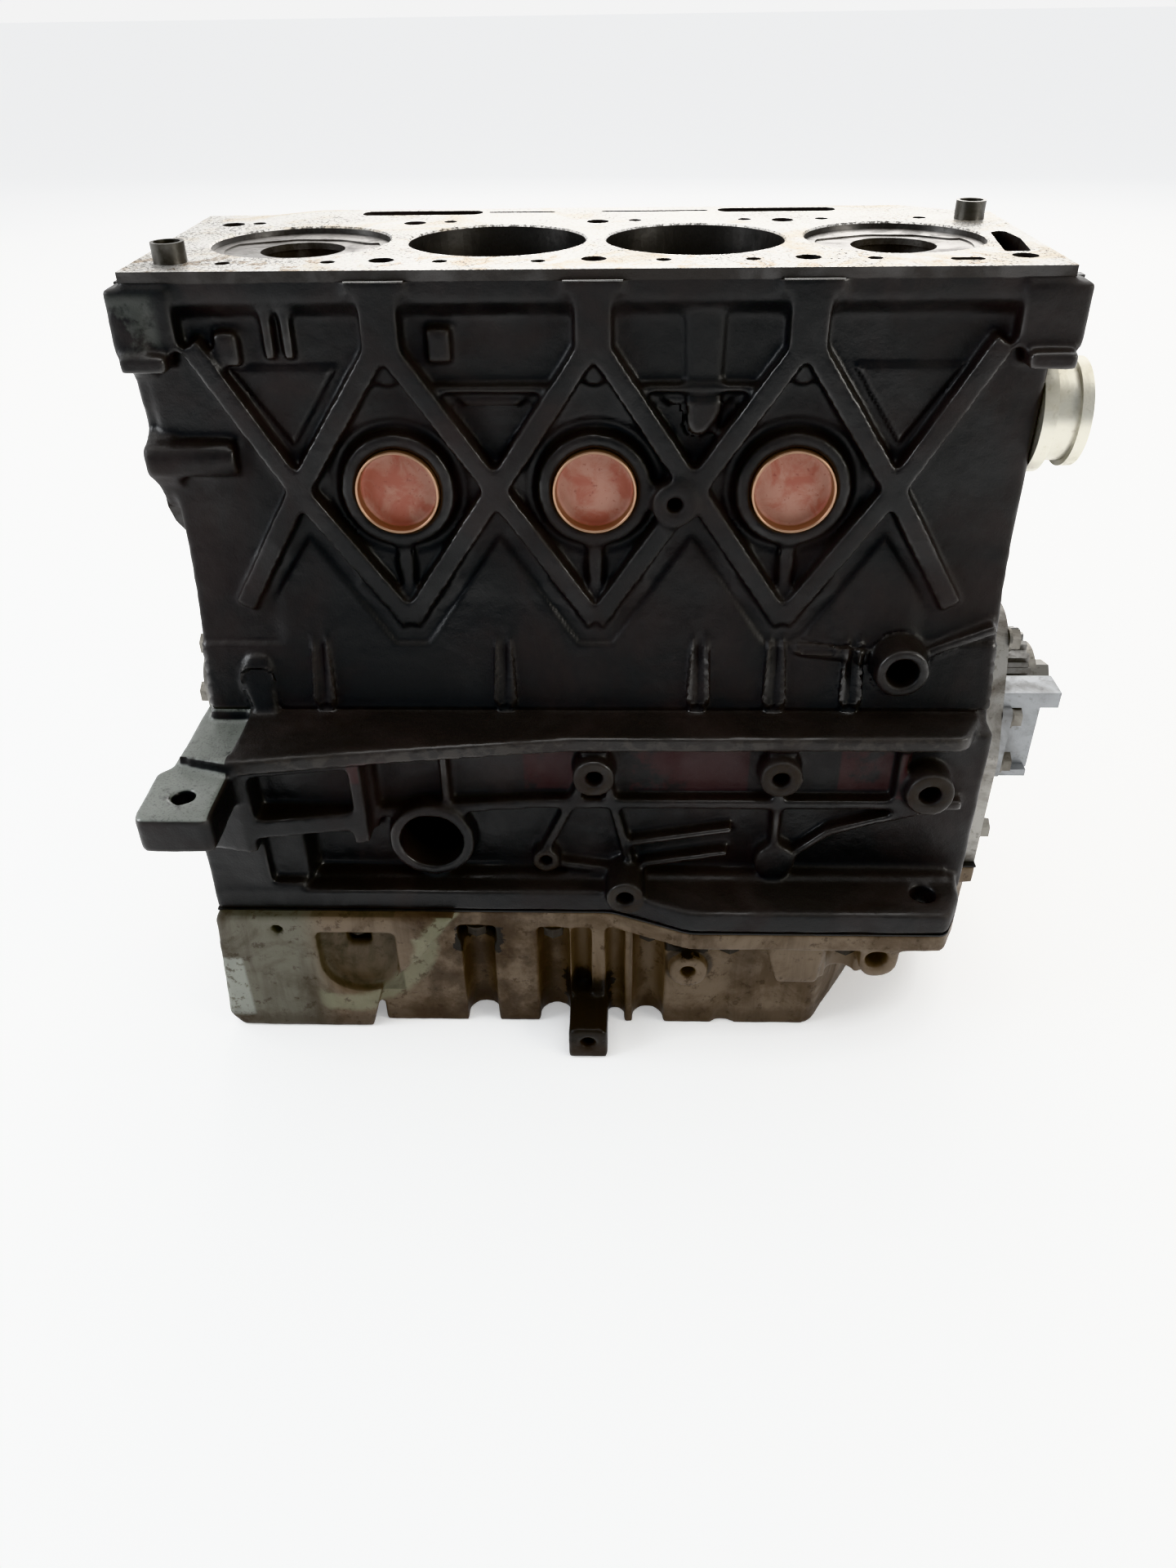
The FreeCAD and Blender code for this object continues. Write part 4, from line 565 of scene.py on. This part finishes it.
def castIron(s):
    g = Graph("oilyIron")
    patch, speck, blot, wet = [g.layer(s[key]) for key in ("patch", "speck", "blot", "wet")]
    streak = g.layer(s["streak"], g.stretched(*s["streakScale"]))
    ledge = g.nz.ramp(*s["ledge"])
    edge = g.point.ramp(*s["edge"])
    facing = g.ny.below(-0.8, 0.1)
    colour = g.mix(patch, s["oil"], s["brown"])
    colour = g.mix(ledge * (0.30 + speck * 0.2), colour, s["dustAndHighlight"])
    colour = g.mix(streak * 0.45 * (1 - ledge), colour, s["oil"])
    windows = sum(g.box(*limits) for limits in s["windows"])
    primer = windows * facing * g.y.above(s["windowBack"] * mm) * g.layer(s["flaked"])
    colour = g.mix(primer * 0.75, colour, s["primer"])
    # Painted highlight, with some edge wear: sharp edges are lightened towards the dust colour
    colour = g.mix(edge * 0.42, colour, s["dustAndHighlight"])
    rings = sum(g.away(x, z).below(r * mm, 0.5 * mm) for x, z, r in s["rings"])
    rings = rings * facing * g.y.below(s["ringFace"] * mm) * (0.55 + 0.45 * blot)
    colour = g.mix(rings, colour, s["worn"])
    lip = g.box(*s["lip"], 1.5) * g.y.below(s["lipFace"] * mm) * g.ny.below(-0.3, 0.2)
    colour = g.mix(lip * (0.25 + 0.5 * blot), colour, s["dustAndHighlight"])
    # The lug's upward face: scraped bare metal, with painted light from above laid over it
    bareLitLugTop = g.x.below(s["bareLitLugTop"]["right"] * mm) * g.y.below(s["bareLitLugTop"]["back"] * mm) * g.nz.above(0.55, 0.15)
    bareLitLugTop = bareLitLugTop * g.z.below(s["bareLitLugTop"]["high"] * mm) * g.z.above(s["bareLitLugTop"]["low"] * mm, 2 * mm)
    colour = g.mix(bareLitLugTop * g.layer(s["scraped"]) * (1 - speck * 0.5), colour, s["bare"])
    ear = g.box(*s["ear"], 3) * g.y.below(s["earFace"] * mm) * g.layer(s["rubbed"])
    colour = g.mix(ear * 0.28, colour, s["bare"])
    rough = 0.30 + patch * 0.20 + (1 - wet) * 0.16 + rings * 0.1
    grain, coarse, swells = [g.noise(*s[key]) for key in ("grain", "coarse", "swell")]
    height = grain * 0.35 + coarse * 0.65 + ledge * coarse * 0.6
    normal = g.bump(height, s["grainDepth"] * mm, 0.9, g.bump(swells, s["swellDepth"] * mm, 0.6))
    return g.finish(base_color=colour, roughness=rough, normal=normal, specular_ior_level=0.42,
                    coat_weight=(wet * edge * 0.8 + wet * ledge * 0.35), coat_roughness=0.14)


# Alloy sump: stained beige casting, with painted shade in its hollows, pale where it was scraped. The stripe
# of clean metal round the bend at its left and down the arm beside it is given by its half width and softness
sumpFinish = {"base": (0.135, 0.101, 0.070), "grey": (0.115, 0.108, 0.083), "stain": (0.034, 0.022, 0.014),
              "pale": (0.25, 0.26, 0.23), "arm": (0.185, 0.185, 0.125), "hollow": (0.030, 0.026, 0.016),
              "grimeAndShade": (0.006, 0.005, 0.004),
              "cloud": (26, 6, 0.65, 0.6, 0.44, 0.66), "spots": (150, 5, 0.7, 0, 0.55, 0.66),
              "runs": (26, 5, 0.6, 0.3, 0.48, 0.68), "runScale": (2.6, 1, 0.35),
              "murk": (55, 5, 0.65, 0, 0.34, 0.60), "scraped": (300, 5, 0.7, 0, 0.36, 0.48),
              "ragged": (120, 5, 0.7), "raggedWidth": 16, "fine": (500, 4, 0.6), "coarse": (120, 4, 0.6),
              "depth": 0.3, "greyLeft": -150, "murky": (-98, -18), "scrapedBox": (-215, -191, -376, -333),
              "stripe": (5.8, 2.2), "bend": {"centre": (-135, -322), "radius": 44, "left": -152, "top": -318},
              "armLine": {"x": -76, "z": -300, "lean": 0.68}, "armBox": (-100, -68, -322, -302),
              "hollowBox": (-150, -106, -361, -302), "hollowFace": -116.5,
              "rail": -314.6, "railFace": -90, "pocket": {"x": (-76.5, -50.5), "low": -332},
              "ringed": {"x": (36, 61), "low": -330}, "foot": {"x": (-18, 9), "high": -352},
              "boss": {"centre": (49, -340), "ring": (10.5, 13.5)}, "bottom": -374}


# Clean stripe: an arc round the bend's centre, and a leaning line down the arm
def cleanStripe(g, s, ragged):
    width, soft = [size * mm for size in s["stripe"]]
    bend, line = s["bend"], s["armLine"]
    arc = ((g.away(*bend["centre"]) - bend["radius"] * mm).size() + ragged * 0.5).below(width, soft)
    arc = arc * g.x.above(bend["left"] * mm, 3 * mm) * g.z.below(bend["top"] * mm, 1 * mm)
    across = g.x - (g.z - line["z"] * mm) * line["lean"] - line["x"] * mm
    return arc.most((across.size() + ragged * 0.5).below(width, soft) * g.box(*s["armBox"]))


# Painted shade, with some grime, in the pockets under the rail, round the boss and behind the foot
def shadedPockets(g, s, ragged, front):
    x, z = g.x + ragged, g.z + ragged
    under = g.z.below(s["rail"] * mm) * g.y.below(s["railFace"] * mm)
    pocket = x.between(*s["pocket"]["x"]) * z.above(s["pocket"]["low"] * mm) * under
    ringed = x.between(*s["ringed"]["x"]) * z.above(s["ringed"]["low"] * mm) * under
    foot = x.between(*s["foot"]["x"]) * z.below(s["foot"]["high"] * mm, 4 * mm)
    inner, outer = [radius * mm for radius in s["boss"]["ring"]]
    boss = g.away(*s["boss"]["centre"])
    return pocket.most(ringed).most(foot).most(boss.below(outer, 1 * mm) * boss.above(inner) * front * 0.7)


def stainedAlloy(s):
    g = Graph("sumpAlloy")
    front = g.ny.below(-0.35, 0.25)
    cloud, spots = g.layer(s["cloud"]), g.layer(s["spots"])
    runs = g.layer(s["runs"], g.stretched(*s["runScale"]))
    ragged = (g.noise(*s["ragged"]) - 0.5) * (s["raggedWidth"] * mm)
    colour = g.mix(g.x.below(s["greyLeft"] * mm, 10 * mm), s["base"], s["grey"])
    colour = g.mix(cloud * 0.5, colour, s["stain"])
    colour = g.mix(runs * 0.45, colour, s["stain"])
    colour = g.mix(spots * 0.65, colour, s["stain"])
    murk = g.x.between(*s["murky"], 12) * g.layer(s["murk"])
    colour = g.mix(murk * 0.78, colour, s["stain"])
    scrape = g.box(*s["scrapedBox"], 1.2) * front * g.layer(s["scraped"])
    colour = g.mix(scrape * 0.85, colour, s["pale"])
    stripe = cleanStripe(g, s, ragged) * front * (1 - spots * 0.7) * (0.62 + runs * 0.25)
    colour = g.mix(stripe, colour, s["arm"])
    # Painted shade: the back of the pocket is darkened
    hollow = g.box(*s["hollowBox"]) * g.y.above(s["hollowFace"] * mm, 0.5 * mm)
    colour = g.mix(hollow * (0.45 + cloud * 0.5), colour, s["hollow"])
    pocketShade = shadedPockets(g, s, ragged, front)
    # The pockets get painted shade, nearly black, partly grime
    colour = g.mix(pocketShade * 0.93, colour, s["grimeAndShade"])
    low = (g.z + ragged).below(s["bottom"] * mm, 4 * mm)
    colour = g.mix(low * 0.5, colour, s["stain"])
    height = g.noise(*s["fine"]) * 0.5 + g.noise(*s["coarse"]) * 0.5 - spots * 0.3
    return g.finish(base_color=colour, metallic=0.15, roughness=0.48 + cloud * 0.2 - pocketShade * 0.15,
                    normal=g.bump(height, s["depth"] * mm, 0.8), specular_ior_level=0.4)


# Pale salmon paint, cloudy and chalky, with its pressed rim rubbed bright
plugFinish = {"salmon": (0.29, 0.100, 0.070), "chalk": (0.35, 0.185, 0.140), "chip": (0.20, 0.06, 0.045),
              "rim": (0.36, 0.23, 0.16), "cloud": (75, 5, 0.6, 0.5, 0.38, 0.62),
              "chips": (420, 4, 0.65, 0, 0.60, 0.68), "grain": (300, 4, 0.6), "depth": 0.08,
              "rimFace": -63.5, "rimSoft": 0.6}


def plugPaint(s):
    g = Graph("copperPlug")
    colour = g.mix(g.layer(s["cloud"]), s["salmon"], s["chalk"])
    colour = g.mix(g.layer(s["chips"]) * 0.6, colour, s["chip"])
    rim = g.y.below(s["rimFace"] * mm, s["rimSoft"] * mm)
    colour = g.mix(rim, colour, s["rim"])
    return g.finish(base_color=colour, metallic=rim * 0.8, roughness=0.62 - rim * 0.3,
                    normal=g.bump(g.noise(*s["grain"]), s["depth"] * mm, 0.6))


# Bright milled deck: dull blotches, crowds of black pits, rusty stains, and oil along the camera's side
deckFinish = {"bright": (0.60, 0.59, 0.57), "dull": (0.30, 0.29, 0.275), "rust": (0.34, 0.23, 0.08),
              "oil": (0.20, 0.11, 0.015), "pit": (0.03, 0.024, 0.018),
              "blotch": (26, 6, 0.65, 0.5, 0.42, 0.66), "crowd": (24, 4, 0.6, 0, 0.36, 0.62),
              "pits": (620, 5, 0.75, 0, 0.49, 0.56), "spots": (210, 6, 0.78, 0.4, 0.54, 0.60),
              "stain": (18, 6, 0.7, 1.2, 0.50, 0.64), "film": (60, 6, 0.7, 1.0, 0.54, 0.62),
              "filmBack": -30, "filmSoft": 20, "grain": (420, 4, 0.6), "depth": 0.16}


def machinedDeck(s):
    g = Graph("machinedDeck")
    blotch, crowd, stain = [g.layer(s[key]) for key in ("blotch", "crowd", "stain")]
    pits = g.layer(s["pits"]) * (0.55 + crowd * 0.45)
    spots = g.layer(s["spots"]) * (0.35 + crowd * 0.65)
    oil = g.layer(s["film"]) * g.y.below(s["filmBack"] * mm, s["filmSoft"] * mm)
    colour = g.mix(blotch * 0.4, s["bright"], s["dull"])
    colour = g.mix(stain * 0.45, colour, s["rust"])
    colour = g.mix(oil * 0.8, colour, s["oil"])
    colour = g.mix(pits.most(spots) * 0.84, colour, s["pit"])
    rough = 0.28 + blotch * 0.14 + pits * 0.35 - oil * 0.1
    height = g.noise(*s["grain"]) * 0.6 - pits - spots * 0.6
    return g.finish(base_color=colour, metallic=0.85 - stain * 0.25, roughness=rough,
                    normal=g.bump(height, s["depth"] * mm, 0.8))


# Plain finishes: colour, dirt, roughness, metallic, scale of the grain, its depth and how much is dirty
plainLayers = {"cloud": (40, 6, 0.65, 0.6, 0.40, 0.66), "spot": (260, 4, 0.65, 0, 0.56, 0.70)}
plainFinishes = {
    "honedBore": ((0.20, 0.195, 0.19), (0.05, 0.045, 0.04), 0.28, 0.9, 500, 0.05, 0.6),
    "brightFlat": ((0.72, 0.71, 0.69), (0.30, 0.28, 0.25), 0.22, 1.0, 600, 0.04, 0.3),
    "machinedFace": ((0.125, 0.12, 0.112), (0.06, 0.052, 0.045), 0.42, 0.7, 600, 0.08, 0.45),
    "capIron": ((0.10, 0.09, 0.08), (0.02, 0.017, 0.015), 0.4, 0.6, 700, 0.06, 0.5),
    "dirtyBolt": ((0.035, 0.030, 0.025), (0.012, 0.010, 0.008), 0.5, 0.4, 700, 0.06, 0.5),
    "boltSteel": ((0.22, 0.21, 0.19), (0.05, 0.04, 0.03), 0.36, 0.9, 700, 0.06, 0.5),
    "dowelSteel": ((0.13, 0.125, 0.115), (0.03, 0.025, 0.02), 0.34, 0.9, 700, 0.06, 0.5),
    "bearingMetal": ((0.55, 0.53, 0.50), (0.3, 0.28, 0.25), 0.25, 0.9, 700, 0.06, 0.3),
    "coverAlloy": ((0.33, 0.32, 0.30), (0.10, 0.085, 0.07), 0.45, 0.6, 500, 0.2, 0.7),
    "bracketAlloy": ((0.30, 0.31, 0.32), (0.12, 0.11, 0.10), 0.45, 0.5, 500, 0.2, 0.5),
    "pumpAlloy": ((0.62, 0.60, 0.53), (0.30, 0.27, 0.2), 0.35, 0.8, 700, 0.06, 0.5),
    "pistonAlloy": ((0.20, 0.19, 0.18), (0.035, 0.03, 0.026), 0.34, 0.7, 600, 0.12, 0.85),
    "ringIron": ((0.3, 0.29, 0.28), (0.1, 0.09, 0.08), 0.3, 0.9, 700, 0.06, 0.5),
    "crankIron": ((0.22, 0.21, 0.20), (0.06, 0.05, 0.045), 0.32, 0.85, 700, 0.06, 0.5),
    "rodSteel": ((0.20, 0.19, 0.185), (0.06, 0.05, 0.045), 0.38, 0.8, 700, 0.06, 0.5),
    "pinSteel": ((0.6, 0.6, 0.6), (0.3, 0.3, 0.3), 0.12, 1.0, 700, 0.06, 0.3),
    "sprocketSteel": ((0.25, 0.245, 0.235), (0.07, 0.06, 0.05), 0.34, 0.9, 700, 0.06, 0.5),
    "sealRubber": ((0.012, 0.012, 0.012), (0.03, 0.026, 0.022), 0.55, 0.0, 700, 0.06, 0.6)}


def plainFinish(name):
    colour, dirt, rough, metallic, grain, depth, spots = plainFinishes[name]
    g = Graph(name)
    cloud, spot = g.layer(plainLayers["cloud"]), g.layer(plainLayers["spot"])
    shade = g.mix(cloud * spots, colour, dirt)
    shade = g.mix(spot * spots * 0.7, shade, dirt)
    return g.finish(base_color=shade, metallic=metallic, roughness=rough + cloud * 0.18 + spot * 0.1,
                    normal=g.bump(g.noise(grain, 4, 0.6), depth * mm, 0.8))


def numbered(name, count=4):
    return ["%s_%d" % (name, i) for i in range(1, count + 1)]


# The pieces that keep their CAD shape, under the finish they get
dressed = {
    "capIron": numbered("main_cap", 5) + ["oil_pump"],
    "dirtyBolt": ["sump_bolts"],
    "boltSteel": ["main_cap_bolts", "cover_bolts", "drain_plug", "crank_bolt"] + numbered("rod_cap_bolts"),
    "dowelSteel": ["deck_dowels", "oil_pickup", "piston_cooling_jets"],
    "bearingMetal": ["main_bearing_shells", "thrust_washers"] + numbered("rod_bearing_shells"),
    "coverAlloy": ["front_cover", "rear_seal_carrier"],
    "bracketAlloy": ["timing_bracket"],
    "pumpAlloy": ["coolant_pump_cover"],
    "pistonAlloy": numbered("piston"),
    "ringIron": numbered("piston_rings"),
    "crankIron": ["crankshaft"],
    "rodSteel": numbered("connecting_rod") + numbered("rod_cap"),
    "pinSteel": numbered("gudgeon_pin"),
    "sprocketSteel": ["crank_sprocket", "pump_drive_sprocket", "pump_sprocket", "oil_pump_chain"],
    "sealRubber": ["front_oil_seal", "rear_oil_seal", "sump_gasket"]}


def dressNodes(finishes):
    for name, nodeNames in finishes.items():
        material = plainFinish(name)
        for node in nodeNames:
            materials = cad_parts[node].data.materials
            materials.clear()
            materials.append(material)


print("camera and studio")
makeCamera(cameraSettings)
makeStudio(studio)

print("materials")
iron = castIron(blockFinish)
deck = machinedDeck(deckFinish)
dressNodes(dressed)

print("castings")
makeBlock(block, [iron, deck, plainFinish("honedBore"), plainFinish("machinedFace")])
makeSump(sump, stainedAlloy(sumpFinish))
makePlugs(plugCup, plugPaint(plugFinish))
makeTabTops(tabTop, plainFinish("brightFlat"))

print("done")
